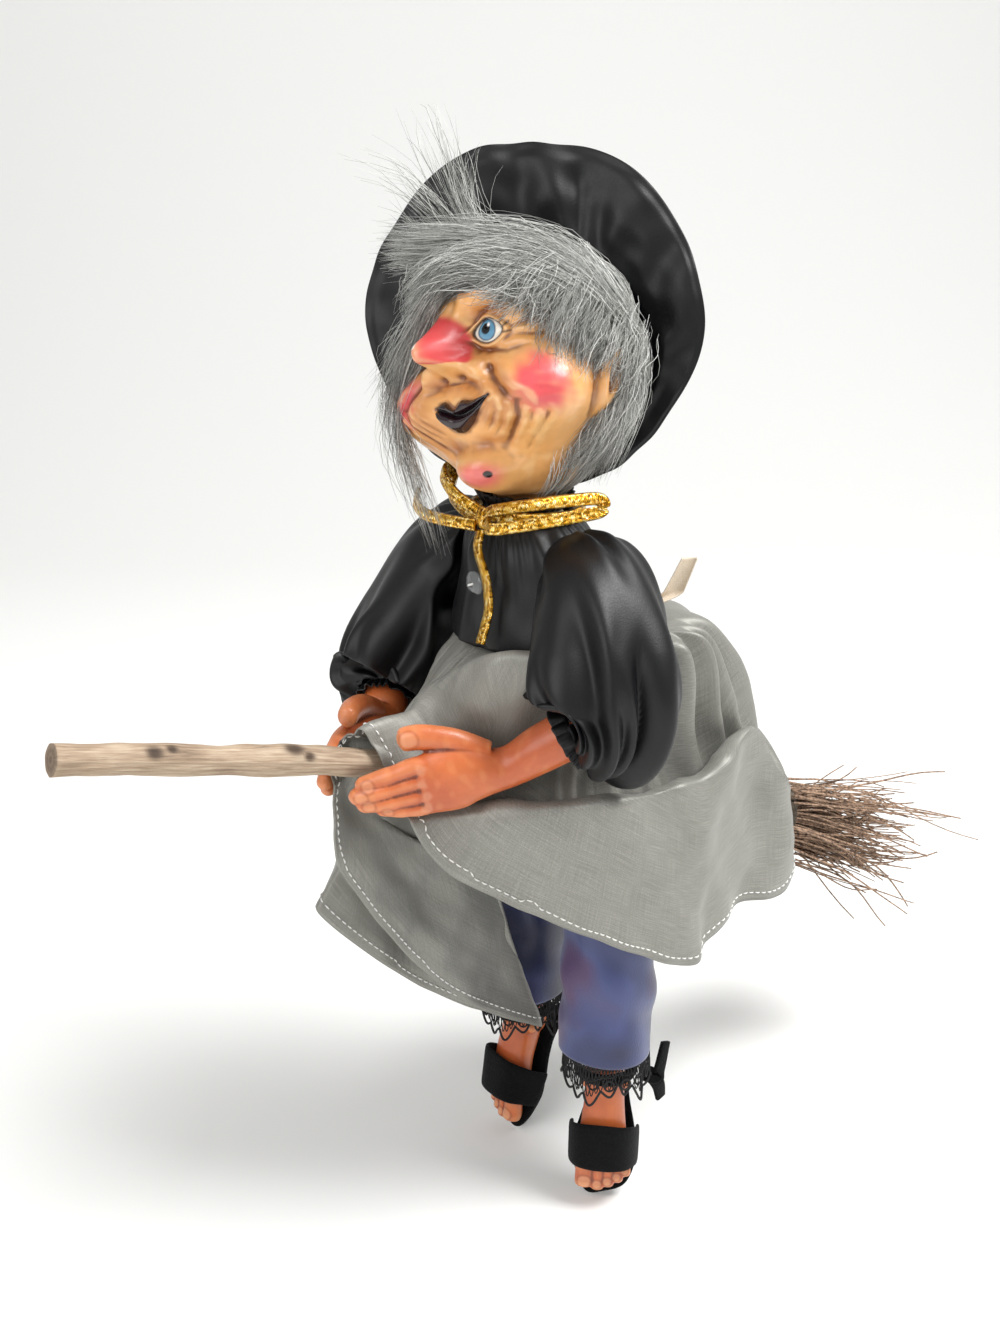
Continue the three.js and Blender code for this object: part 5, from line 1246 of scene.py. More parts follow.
# The nose: height on the face, share of its length, and half width.
NOSE_ROWS = [
    (43.5, 0, 10),
    (46.5, 0.24, 9.5),
    (49.6, 0.62, 8),
    (52, 0.93, 5.8),
    (54.5, 1, 5.3),
    (57, 0.93, 5.2),
    (60, 0.66, 5.2),
    (65, 0.26, 5),
    (72, 0, 6),
]
# Swellings and hollows of the face: out, place and spread across, place and spread up, fullness.
FACE_FORMS = [
    (6.5, 0, 14, 35, 10.5, 2.2),
    (14, 25.5, 15.5, 36.5, 14.5, 2.8),
    (10.5, 0, 11, 13, 8.5, 2.2),
    (1.6, 10, 8, 70, 3.5, 2),
    (-3, 12, 7, 62, 5, 2),
]
# Creases of the face, by places across and up it: depth, half width, line.
CREASES = [
    (2.3, 1.7, [(12.5, 52), (13.6, 46.5), (16, 42.0), (19.3, 36.5), (19.0, 31), (14.8, 24.5), (10, 20)]),
    (1.3, 1.1, [(20.5, 40.0), (22.8, 33.5), (21.2, 27.7), (16.5, 19.8)]),
    (1.1, 1.0, [(16.6, 41.0), (16.2, 34), (13.4, 29), (9.0, 24.4)]),
    (0.8, 0.8, [(14.6, 40.5), (13.9, 34), (11.2, 30), (8.0, 27.0)]),
    (0.8, 0.9, [(23.8, 38.5), (25.4, 31), (22.6, 25), (18, 18)]),
    (1.1, 1.2, [(7.4, 61.4), (11, 64.6), (15, 65.8), (19, 65.2), (24.5, 62)]),
    (1.1, 1.2, [(7.6, 56.2), (11, 53.0), (15, 51.8), (20, 51.2), (29, 53)]),
    (0.6, 0.9, [(21.5, 58.0), (27, 59.5), (33, 63)]),
    (0.6, 0.9, [(21.5, 56.4), (28, 54.8), (34, 54)]),
    (1.0, 2.4, [(-8, 24.5), (0, 22.5), (6, 22.4), (11, 19.6), (15, 14)]),
    (0.6, 1.3, [(-2, 74.5), (9, 75.9), (21, 73.5)]),
    (0.5, 1.2, [(-2, 78.5), (9, 79.8), (21, 77.5)]),
    (0.9, 1.3, [(2.2, 63), (3.4, 69), (2.2, 76)]),
    (1.1, 1.4, [(7.0, 61.5), (7.6, 56), (11, 50)]),
    (0.8, 1.6, [(3, 42.0), (7, 42.2), (11.5, 40.6)]),
]
LIP_TOP = [(-7, 36.8), (-2.6, 38.2), (0, 35.5), (3.2, 38.1), (7.5, 38.0), (12.8, 39.4)]
LIP_MEET = [(-7, 36.3), (-2.6, 34.6), (0, 33.5), (3.2, 33.9), (7.5, 35.6), (12.8, 39.2)]
LIP_BOTTOM = [(-7, 35.8), (-4.5, 29.6), (0, 27.6), (4.2, 29.6), (7.5, 32.8), (12.8, 39.0)]
EYE, PUPIL_V, GLINT_V = (13.8, 58.7), 59.2, 60.3
LASHES = ([(18.9, 58.6), (21.6, 60.2)], [(18.4, 60.2), (20.6, 62.4)], [(19.2, 57.2), (21.9, 57.2)])
BROW = [(20, 66.6), (26, 66.0), (31, 61.5)]
# Patches of brown wash, lying in the face's hollows and so painted shade as well: place across and up, and
# spread.
WASH_AND_SHADE = [(11, 55, 6, 9), (14, 33, 9, 11), (15, 64, 9, 4), (6, 43, 9, 4), (17, 43, 4, 8), (6, 23, 11, 4)]


def near_line(u, v, line):
    """Distance of places on the face to a line of points on it, and the share along it."""
    best = np.full(u.shape, 1e9)
    share = np.zeros(u.shape)
    for i, ((ax, ay), (bx, by)) in enumerate(zip(line, line[1:])):
        dx, dy = bx - ax, by - ay
        t = np.clip(((u - ax) * dx + (v - ay) * dy) / (dx * dx + dy * dy), 0, 1)
        d = np.hypot(u - ax - t * dx, v - ay - t * dy)
        share = np.where(d < best, (i + t) / (len(line) - 1), share)
        best = np.minimum(best, d)
    return best, share


def head_radius(angle, z):
    """How far the bare head stands out from its axis."""
    half, front, back = profile(HEAD_ROWS, z)
    deep = np.where(np.cos(angle) > 0, front, back)
    return 1 / np.hypot(np.sin(angle) / half, np.cos(angle) / deep)


def on_face(angle, z):
    """Places across and up the face, which is rolled a little to one side."""
    across, above = FACE_ARC * angle, z - FACE_MIDDLE
    c, s = math.cos(FACE_ROLL), math.sin(FACE_ROLL)
    return across * c + above * s, FACE_MIDDLE + above * c - across * s


def face_radius(angle, z):
    """How far the head stands out, with its nose, cheeks, chin and brows."""
    u, v = on_face(angle, z)
    side = np.abs(u)
    front = fade(np.abs(np.degrees(angle)), 85, 118)
    long, wide = profile(NOSE_ROWS, v)
    out = NOSE_LONG * long * bell(side / wide, 1.9)
    for rise, at, spread, high, tall, full in FACE_FORMS:
        out = out + rise * bell(np.hypot((side - at) / spread, (v - high) / tall), full)
    return head_radius(angle, z) + front * out


def lips_at(u, v):
    """How far a place lies inside the upper and the lower lip, and its distance from where they meet."""
    along = np.clip(u, -7, 12.8)
    beyond = np.abs(u - along)
    top, meet, bottom = (profile(rows, along)[0] for rows in (LIP_TOP, LIP_MEET, LIP_BOTTOM))
    upper = np.minimum(top - v, v - meet) - beyond
    lower = np.minimum(meet - v, v - bottom) - beyond
    return upper, lower, np.hypot(v - meet, beyond)


def eye_at(u, v):
    """Below 1 inside the eye's almond shape."""
    x = (np.abs(u) - EYE[0]) / 5.4
    y = (v - EYE[1] + 0.35 * x * x) / np.where(v > EYE[1], 3.6, 4.0)
    return np.hypot(x, y * (1 + 0.35 * x * x))


def make_head():
    """The moulded head: its creases, lips, eyes and ears, and the paint on them."""
    sides = 336
    t = (2 * (np.arange(sides) + 0.5)) / sides - 1
    angle = np.pi * (0.42 * t + 0.58 * t**3)
    z = [np.linspace(-1, 16, 46)[:-1], np.linspace(16, 74, 196)[:-1], np.linspace(74, 88, 44)]
    angle, z = np.meshgrid(angle, np.concatenate(z))
    u, v = on_face(angle, z)
    r = face_radius(angle, z)
    face = fade(np.abs(np.degrees(angle)), 78, 95)
    side = np.abs(u)
    carve = np.zeros_like(r)
    for depth, width, line in CREASES:
        d, share = near_line(side, v, line)
        thin = np.sin(np.pi * share) ** 0.7
        ridge = 0.35 * depth * thin * bell((d - 2.2 * width) / width)
        carve = carve - depth * thin * bell(d / width) + ridge
    upper, lower, meet = lips_at(u, v)
    lips = 2.0 * smooth(upper, -0.6, 1.6), 2.6 * smooth(lower, -0.6, 2.4)
    carve = carve + lips[0] + lips[1] - 1.6 * bell(meet / 0.7)
    eye = eye_at(u, v)
    ball = np.sqrt(np.maximum(1 - np.minimum(eye, 1) ** 2, 0))
    lids = 1.5 * bell((eye - 1.22) / 0.2) * (0.75 + 0.25 * (v > EYE[1]))
    carve = carve + np.where(eye < 1, -0.9 + 2.0 * ball, 0) + lids
    # Nostril wings, a dent beside each of them and the nostrils.
    wing = np.hypot((side - 10.0) / 3.8, (v - 47.2) / 3.9)
    carve = carve + 3.2 * bell(wing, 2.6) - 1.2 * bell(np.hypot(side - 14.2, v - 47.0) / 1.6)
    carve = carve - 2.0 * bell(np.hypot((side - 4.0) / 2.0, (v - 45.4) / 1.5))
    # Ear: a rim round a hollow.
    degrees = np.abs(np.degrees(angle))
    x, y = (degrees - 97) / 10.5, (z - 45.5) / 11.5
    x = x - 0.35 * y
    far = np.hypot(x, y)
    hollow = np.hypot(x * 1.5 + 0.1, y * 1.25 - 0.12)
    ear = 5.2 * bell(far / 1.02, 5) - 2.6 * np.exp(-(hollow**3 / 0.35))
    place = np.stack([u, v, z], -1)
    uneven = 0.12 * ripple(place, 14, 51) + 0.05 * ripple(place, 4, 52)
    r = r + face * (carve + uneven) + ear
    points = np.stack([r * np.sin(angle), -r * np.cos(angle), z], -1)
    head = make("painted_head", *loft(turned(points, HEAD_TURN)), SKIN)
    # The fans that close the head's ends have a middle point each, which takes after the first and last.
    pick = (u, v, face, np.degrees(angle), z)
    paint(head, "#e6aa68", face_paint(head, *(np.append(q.ravel(), q.ravel()[[0, -1]]) for q in pick)))
    settle(head, "head", "painted_skin", "head")


def face_paint(head, u, v, flat, around, high):
    """Layers of paint on the face, from the first wash to a painted highlight at the tip of the nose."""
    _, deep = hollows(head, 8)
    _, broad = hollows(head, 30)
    side = np.abs(u)
    p = np.stack([u, v, 0 * u], -1)
    layers = [
        (0.5 * smooth(ripple(p, 24, 53), -0.4, 1.3), "#d08e4e"),
        (0.3 * smooth(ripple(p, 7, 54), 0.2, 1.5), "#f0cd98"),
    ]
    # A brown wash was rubbed round the eyes, beside the nose and about the mouth; these are hollows of the
    # face, so it is painted shade as well.
    rubbed = 0.75 + 0.25 * ripple(p, 5, 56)
    for x, y, wide, tall in WASH_AND_SHADE:
        near = np.hypot((side - x) / wide, (v - y) / tall)
        layers.append((0.66 * fade(near, 0.2, 1.2) * rubbed, "#a45a22"))
    # Reds: cheeks, nose, chin and forehead.
    far_side = smooth(-u, 0, 4)
    cheek = np.hypot((side - 26.5 + 3.5 * far_side) / (8.6 + 2 * far_side), (v - 40.5) / 11)
    cheek = cheek + 0.07 * ripple(p, 6, 57)
    nose, width = profile(NOSE_ROWS, v)
    edge = smooth(v + 0.2 * side + 0.5 * ripple(p, 5, 58), 51.0, 52.6)
    red = nose * bell(side / (width + 1.5)) * edge
    chin = np.hypot((u - 1.7) / 9, (v - 12.8) / 6.0)
    forehead = np.hypot((side - 9) / 12, (v - 75) / 5)
    layers += [
        (0.9 * fade(cheek, 0.45, 1.1), "#cd3a4e"),
        (0.95 * smooth(red, 0.16, 0.3), "#cf3a44"),
        (0.85 * fade(chin, 0.35, 1.1), "#dc5c66"),
        (0.5 * fade(forehead, 0.3, 1.1), "#c9645a"),
    ]
    # Dark brown wash in the hollows, the ears' too, by how deep each vertex lies: the doll's own wash and
    # painted shade. Lighter on what stands out: painted highlight, with some wear.
    wash_and_shade = np.maximum(smooth(deep, 0.0, 0.18), 0.85 * smooth(broad, 0.06, 0.6))
    ears = fade(np.hypot((np.abs(around) - 97) / 12, (high - 45.5) / 13), 0.8, 1.1)
    layers.append((0.9 * wash_and_shade * np.maximum(flat, ears), "#6a3412"))
    layers.append((0.45 * smooth(-deep, 0.05, 0.22) * flat, "#f4cc94"))
    # Eye: cream white, blue iris with a dark edge, black pupil, a glint, and black lines round it.
    eye = eye_at(u, v)
    white = fade(eye, 0.9, 0.98)
    mark = np.sign(u)
    iris = np.hypot(side - EYE[0] + 0.3, v - EYE[1])
    pupil = np.hypot(u - mark * EYE[0] + 0.8, v - PUPIL_V)
    glint = np.hypot(u - mark * EYE[0] - 0.2, v - GLINT_V)
    layers += [
        (white, "#e9e2d4"),
        (white * fade(iris, 3.2, 3.5), "#23435c"),
        (white * fade(iris, 2.7, 3.1), "#5b93b3"),
        (white * fade(pupil, 1.6, 1.85), "#07080a"),
        (white * fade(glint, 0.45, 0.75), "#ffffff"),
        (0.95 * bell((eye - 1.0) / np.where(v > EYE[1], 0.1, 0.06)), "#120c0a"),
    ]
    layers += [(0.85 * bell(near_line(side, v, lash)[0] / 0.4), "#1a0f0b") for lash in LASHES]
    brow, _ = near_line(side, v, BROW)
    layers.append((0.35 * bell(brow / 0.9) * smooth(ripple(p, 3, 55), 0.0, 1.0), "#5b3a26"))
    # Lips: almost black plum, darkest where they meet. Then the wart on the chin.
    upper, lower, meet = lips_at(u, v)
    layers += [
        (smooth(np.maximum(upper, lower), -0.25, 0.15), "#231016"),
        (bell(meet / 0.5), "#0a0507"),
        (fade(np.hypot(u - 5.0, v - 13.2), 1.05, 1.45), "#1d100d"),
    ]
    # Painted highlight: a white spot at the tip of the nose.
    nose_highlight = np.hypot((u + 0.6) / 1.5, (v - 56.4) / 1.1) + 0.25 * ripple(p, 1.6, 59)
    return layers + [(0.9 * fade(nose_highlight, 0.5, 0.9), "#f6efe4")]


# Hair

# Middle lines of the locks, as marks chosen on the photograph: pixels across it and down it, and how far the
# hair is lifted off the head there, in millimetres.
LOCKS = {
    "sweep": [
        [(636, 335, 5), (606, 300, 7), (560, 255, 9), (480, 240, 12), (384, 240, 16)],
        [(628, 318, 6), (580, 276, 8), (520, 250, 9), (445, 254, 11), (388, 258, 16)],
        [(612, 312, 6), (566, 280, 7), (508, 262, 8), (448, 272, 9), (413, 305, 10)],
        [(592, 300, 6), (548, 274, 6), (492, 262, 7), (446, 272, 8), (416, 300, 9)],
        [(568, 294, 5), (528, 277, 6), (478, 267, 7), (440, 277, 8), (410, 312, 9)],
    ],
    "tuft": [
        [(520, 245, 9), (475, 235, 12), (455, 190, 22), (440, 140, 34), (430, 102, 44)],
        [(510, 250, 9), (460, 232, 12), (430, 205, 20), (400, 175, 32), (356, 158, 44)],
        [(530, 244, 9), (480, 225, 14), (462, 180, 26), (458, 150, 36)],
        [(500, 248, 9), (450, 238, 12), (420, 222, 20), (395, 205, 28)],
    ],
    "fringe": [
        [(584, 274, 7), (570, 298, 5), (558, 324, 4), (552, 346, 2.5)],
        [(602, 290, 6), (592, 315, 5), (581, 340, 4), (573, 359, 2.5)],
        [(562, 268, 7), (548, 286, 5), (535, 304, 4), (528, 316, 2.5)],
        [(620, 308, 5.5), (612, 332, 5), (602, 354, 4.5), (594, 366, 3.5)],
        [(542, 262, 7), (522, 278, 5.5), (504, 290, 4), (488, 294, 3)],
        [(634, 330, 5), (630, 352, 5), (622, 372, 5), (615, 386, 4.5)],
    ],
    "near": [
        [(632, 318, 5), (638, 352, 5), (631, 395, 5), (618, 432, 5), (602, 470, 6)],
        [(624, 332, 5), (630, 366, 5), (620, 405, 5), (604, 440, 5), (580, 478, 6)],
        [(618, 390, 3), (608, 412, 3), (594, 438, 3.5), (570, 468, 4)],
        [(634, 345, 5), (626, 388, 5), (612, 428, 5), (592, 472, 6)],
    ],
    "far": [
        [(456, 272, 7), (434, 293, 8), (412, 328, 9), (396, 358, 10), (378, 390, 11)],
        [(446, 280, 7), (424, 313, 8), (406, 352, 9), (392, 396, 10), (385, 434, 11)],
        [(436, 295, 7), (418, 334, 8), (402, 380, 9), (396, 428, 10), (410, 476, 11)],
        [(428, 325, 7), (409, 384, 8), (402, 436, 9), (416, 488, 10), (438, 552, 11)],
    ],
}
# Fibres in a lock, and its half width at the root and at the tip.
LOCK_SIZES = {
    "sweep": (1150, 2.6, 3.6),
    "tuft": (45, 2.4, 5.0),
    "fringe": (330, 4.6, 4.2),
    "near": (600, 2.0, 3.0),
    "far": (120, 2.4, 3.4),
}
# Fibres are drawn 0.17 mm thick, about twice the real ones, so that fewer are needed.
FIBRE_R, COMBED, PIECE_FIBRES = 0.085, 5000, 3800
FIBRE_TAPER = np.array([0.8, 1, 1, 1, 0.98, 0.88, 0.66, 0.3])
HAIR_STEPS = len(FIBRE_TAPER)
# Fibres of a lock where the doll's right side repeats it, and the hair's highest place.
THIN_SIDE = {"fringe": 190, "near": 240}
HAIR_TOP = 131
# Sight lines are searched from and to these distances from the camera, in these steps.
SIGHT_FROM, SIGHT_TO, SIGHT_STEP = 380, 660, 0.25
# The hair is rounded off over the head from one height to the other.
DOME_FROM, DOME_TOP = 70, 86


def over_head(across, down, lift):
    """Where a pixel's sight line meets the lifted hair, in the head's frame before it turns, to 0.1 mm."""
    right, back = map(np.array, camera_axes())
    way = right * (across - PHOTO_WIDE / 2) + np.cross(back, right) * (PHOTO_HIGH / 2 - down)
    way = unit(way - back * (CAMERA_LENS / SENSOR * PHOTO_HIGH))
    far = np.arange(SIGHT_FROM, SIGHT_TO, SIGHT_STEP)[:, None]
    places = turned(np.array(CAMERA_PLACE) + far * way, -HEAD_TURN)
    x, y, z = places.T
    top = DOME_TOP + lift
    dome = np.sqrt(np.clip(1 - (np.maximum(z - DOME_FROM, 0) / (top - DOME_FROM)) ** 2, 0, 1))
    hair = (head_radius(np.arctan2(x, -y), np.clip(z, -1, DOME_TOP)) + lift) * dome
    out = np.hypot(x, y) - hair
    # A line that passes the hair by takes its nearest place to it.
    first = np.argmax(out < 0) if (out < 0).any() else np.argmin(np.abs(out) + np.maximum(z - top, 0))
    return np.round(places[first], 1)


def hair_lock(rng, line, count, root, tip):
    """Fibres along a guide line, spread about it, drifting a little from each other."""
    t = np.linspace(0, 1, HAIR_STEPS)
    start_at = rng.uniform(-0.05, 0.35, count)[:, None]
    stop_at = rng.uniform(0.7, 1.0, count)[:, None]
    dense = curve(line, 100)
    where = np.clip(start_at + (stop_at - start_at) * t, 0, 1) * 100
    i = np.minimum(where.astype(int), 99)
    f = (where - i)[..., None]
    path = dense[i] * (1 - f) + dense[i + 1] * f
    off = rng.normal(0, 0.62, (count, 3))
    drift = rng.normal(0, 0.5, (count, 3))
    size = root + (tip - root) * t
    bend = np.sin(np.pi * t)[None, :, None] * rng.normal(0, 1.5, (count, 1, 3))
    bend = bend + np.sin(2 * np.pi * t)[None, :, None] * rng.normal(0, 0.7, (count, 1, 3))
    bend = bend * np.where(rng.uniform(size=count) < 0.1, 1.7, 1.0)[:, None, None]
    return path + off[:, None] * size[None, :, None] + drift[:, None] * (tip * t**2)[None, :, None] + bend


def clear_of_head(paths, room):
    """Moves the points of paths out of the head, away from its axis."""
    angle = np.arctan2(paths[..., 0], -paths[..., 1])
    z = np.clip(paths[..., 2], -1, 87.5)
    least = face_radius(angle, z) * np.where(paths[..., 2] > 87.5, 0, 1) + room
    far = np.hypot(paths[..., 0], paths[..., 1])
    scale = np.maximum(least / np.maximum(far, 1e-6), 1)
    paths[..., 0] *= scale
    paths[..., 1] *= scale
    return paths


def dress_hair():
    """The wig: its backing, the locks along their guide lines and the combed rest."""
    rng = np.random.default_rng(20)
    # Backing of the fur fabric: a thin cap that follows the scalp behind the hairline.
    angle = np.linspace(-np.pi, np.pi, 121)[:-1]
    z = np.concatenate([np.linspace(12, 84, 60), [86.5, 88.3, 89.4]])
    a, h = np.meshgrid(angle, z)
    hairline = np.interp(h, [12, 30, 56, 66, 80], [104, 112, 112, 76, 66])
    bare = fade(np.abs(np.degrees(a)) - hairline, -8, 6) * fade(h, 71, 80)
    dome = np.where(h > 86, np.interp(h, [86, 86.5, 88.3, 89.4], [1, 0.85, 0.6, 0.2]), 1)
    r = (np.maximum(face_radius(a, np.minimum(h, 85)) - 2.5 * bare, 0) + 1.1 * (1 - bare)) * dome
    rings = np.stack([r * np.sin(a), -r * np.cos(a), h], -1)
    cap = make("fur_backing", *loft(turned(rings, HEAD_TURN)), FUR_BACKING)
    settle(cap, "head", "grey_fur", "wig")

    paths = []
    for kind, lines in LOCKS.items():
        count, root, tip = LOCK_SIZES[kind]
        for marks in lines:
            line = [over_head(*mark) for mark in marks]
            paths.append(hair_lock(rng, line, count, root, tip))
            # The doll's right side, away from the tuft, is dressed the same way but thinner.
            if kind in THIN_SIDE:
                paths.append(hair_lock(rng, line, THIN_SIDE[kind], root, tip) * (-1, 1, 1))
    # The rest of the wig: short fibres combed down and back from the crown.
    count = COMBED
    a = np.where(rng.uniform(size=count) < 0.5, 1, -1) * rng.uniform(62, 180, count)
    a = np.radians(a)[:, None]
    z = rng.uniform(16, 88, count)[:, None]
    t = np.linspace(0, 1, HAIR_STEPS)
    long = rng.uniform(14, 30, count)[:, None]
    high = np.maximum(z - long * t, 2 + 6 * rng.uniform(size=(count, 1)))
    around = a + 0.12 * rng.normal(size=(count, 1)) * t
    lift = 0.8 + 3.0 * np.sin(np.pi * (0.15 + 0.7 * t)) * rng.uniform(0.3, 1.1, (count, 1))
    r = head_radius(around, np.minimum(high, 84)) + lift
    ear = (np.abs(np.degrees(around)) < 112) & (high > 24) & (high < 60)
    combed = np.stack([r * np.sin(around), -r * np.cos(around), high], -1)
    inside = pitched(turned(combed - HAT_CENTRE, -HAT_TURN), HAT_TILT - 90)[..., 2] < -2
    paths.append(combed[~ear.any(1) & ~inside.all(1)])
    paths = clear_of_head(np.concatenate(paths), 0.5)
    paths[..., 2] = np.minimum(paths[..., 2], HAIR_TOP)
    paths = turned(paths, HEAD_TURN)
    order = rng.permutation(len(paths))
    thick = FIBRE_R * rng.uniform(0.7, 1.25, len(paths))[:, None] * FIBRE_TAPER
    tone = np.clip(rng.normal(0.5, 0.24, len(paths)), 0, 1)
    for k, part in enumerate(np.array_split(order, math.ceil(len(paths) / PIECE_FIBRES))):
        fur = make(f"fur_fibres_{k + 1}", *strands(paths[part], thick[part]), FUR)
        each = np.repeat(tone[part], 3 * HAIR_STEPS)
        paint(fur, "#989994", [(smooth(each, 0.4, 0.9), "#ecece7"), (fade(each, 0.05, 0.35), "#636361")])
        settle(fur, "head", "grey_fur", "wig")


# Hat

HAT_CENTRE, HAT_TURN, HAT_TILT = np.array([-18.5, 22.5, 60.5]), 34, 5
BRIM_R, HOLE_R, HOLE_AT = 61, 36.5, (7, -13)
CROWN_LONG, CROWN_DROOP, CROWN_TIP_R = 92, 26, 5


def hat_placed(p):
    """Points of the hat, which is made lying flat, where it sits on the back of the head."""
    return turned(turned(pitched(p, 90 - HAT_TILT), HAT_TURN) + HAT_CENTRE, HEAD_TURN)


def make_hat():
    """The wide soft brim and the drooping crown."""
    # Brim: two layers of satin sewn together at the rim, pressed flat there and soft inside.
    around, over = 420, 64
    a = spokes(around)
    q = spokes(over)
    t = 0.5 - 0.5 * np.cos(q)
    half = 1.25 * np.sqrt(np.maximum(1 - (2 * t - 1) ** 8, 0)) * (1 - 0.55 * smooth(t, 0.86, 0.94))
    half = half * np.where(q < np.pi, 1, -1)
    wave = 2.6 * np.cos(2 * a + 0.6) + 1.2 * np.cos(5 * a + 1)
    rim = BRIM_R * (1 + 0.014 * np.cos(6 * a + 0.4) + 0.006 * wavy(a, 13, 61))
    c, s = np.cos(a)[:, None], np.sin(a)[:, None]
    x = (HOLE_AT[0] + HOLE_R * c) * (1 - t) + rim[:, None] * c * t
    y = (HOLE_AT[1] + HOLE_R * s) * (1 - t) + rim[:, None] * s * t
    flat = np.stack([x, y, 0 * x], -1)
    folds = 2.4 * t * (1.15 - t) * 3.2 * wavy(a, 8, 62)[:, None] * smooth(t, 0.0, 0.5)
    folds = folds + 1.1 * (1 - t) * wavy(a, 17, 63)[:, None]
    folds = folds + 2.2 * ripple(flat, 40, 64) + 0.35 * ripple(flat, 16, 65)
    loose = np.where(q < np.pi, 1, 0.6) * 0.25 * ripple(flat + 3, 12, 66)
    loose = loose * smooth(t, 0.05, 0.3) * fade(t, 0.82, 0.93)
    z = half + wave[:, None] * t + folds * smooth(t, 0.0, 0.25) + loose
    rings = np.stack([x, y, z], -1)
    points, faces = loft(rings, True)
    brim = make("satin_hat_brim", hat_placed(points), faces, BLACK_SATIN)
    settle(brim, "head", "black_satin", "hat_brim")
    rings[:, : over // 2 + 1].transpose(1, 0, 2)

    # Crown: a soft cone that droops behind the brim and has lost its stiffness in places.
    rows, sides = 96, 150
    t = np.linspace(0, 1, rows)[:, None]
    a = spokes(sides)
    r = (HOLE_R + SATIN_WALL) + (CROWN_TIP_R - HOLE_R - SATIN_WALL) * t**1.15
    crush = 1 + 0.05 * np.sin(3 * a + 9 * t) * np.sin(np.pi * t) + 0.035 * wavy(a + 0 * t, 9, 67) * (1 - t)
    crush = crush + 0.05 * np.sin(np.pi * t) * np.sin(26 * t + 2 * np.cos(a + 1)) * smooth(t, 0.25, 0.6)
    x = HOLE_AT[0] + r * crush * np.cos(a)
    y = HOLE_AT[1] + r * crush * np.sin(a) - CROWN_DROOP * t * t
    z = -0.7 - (CROWN_LONG + 1.6) * t + 0 * a
    shell = np.stack([x, y, z], -1)
    rim, middle = shell[-1], shell[-1].mean(0)
    tip = [rim * f + middle * (1 - f) - np.array([0, 0, 1.6 * (1 - f)]) for f in (0.8, 0.5, 0.15)]
    shell = np.concatenate([shell, tip])
    place = ("head", "black_satin", "hat_crown")
    crown = sewn("satin_hat_crown", hat_placed(shell), BLACK_SATIN, place, 0.6)


# Legs

HIP = (28, 20, -101)
LEG_TOP_R, LEGGING_R, HEM_Z = 15, 18.5, -213
# Height of the lace's upper edge, and how far its pattern is drawn out downwards.
LACE_Z, LACE_DEEP = HEM_Z + 3.5, 1.3
ANKLE_Z, FOOT_PITCH, FOOT_YAW = HEM_Z - 19, 66, {1: 46, -1: 0}
SHANK_R, FOOT_LONG, SHANK_LONG = 7.6, 40, 26
LEG_ROWS = [(0, 18.3), (0.3, 18.5), (0.62, 18.1), (0.86, 16.7), (1, 15)]
# Toes: place across the foot, how far each stands back, and radius.
TOES = [(-6.4, 0, 3.9), (-1.4, -1, 2.7), (2.6, 0.4, 2.6), (6.2, 2.4, 2.5), (9.2, 5, 2.3)]


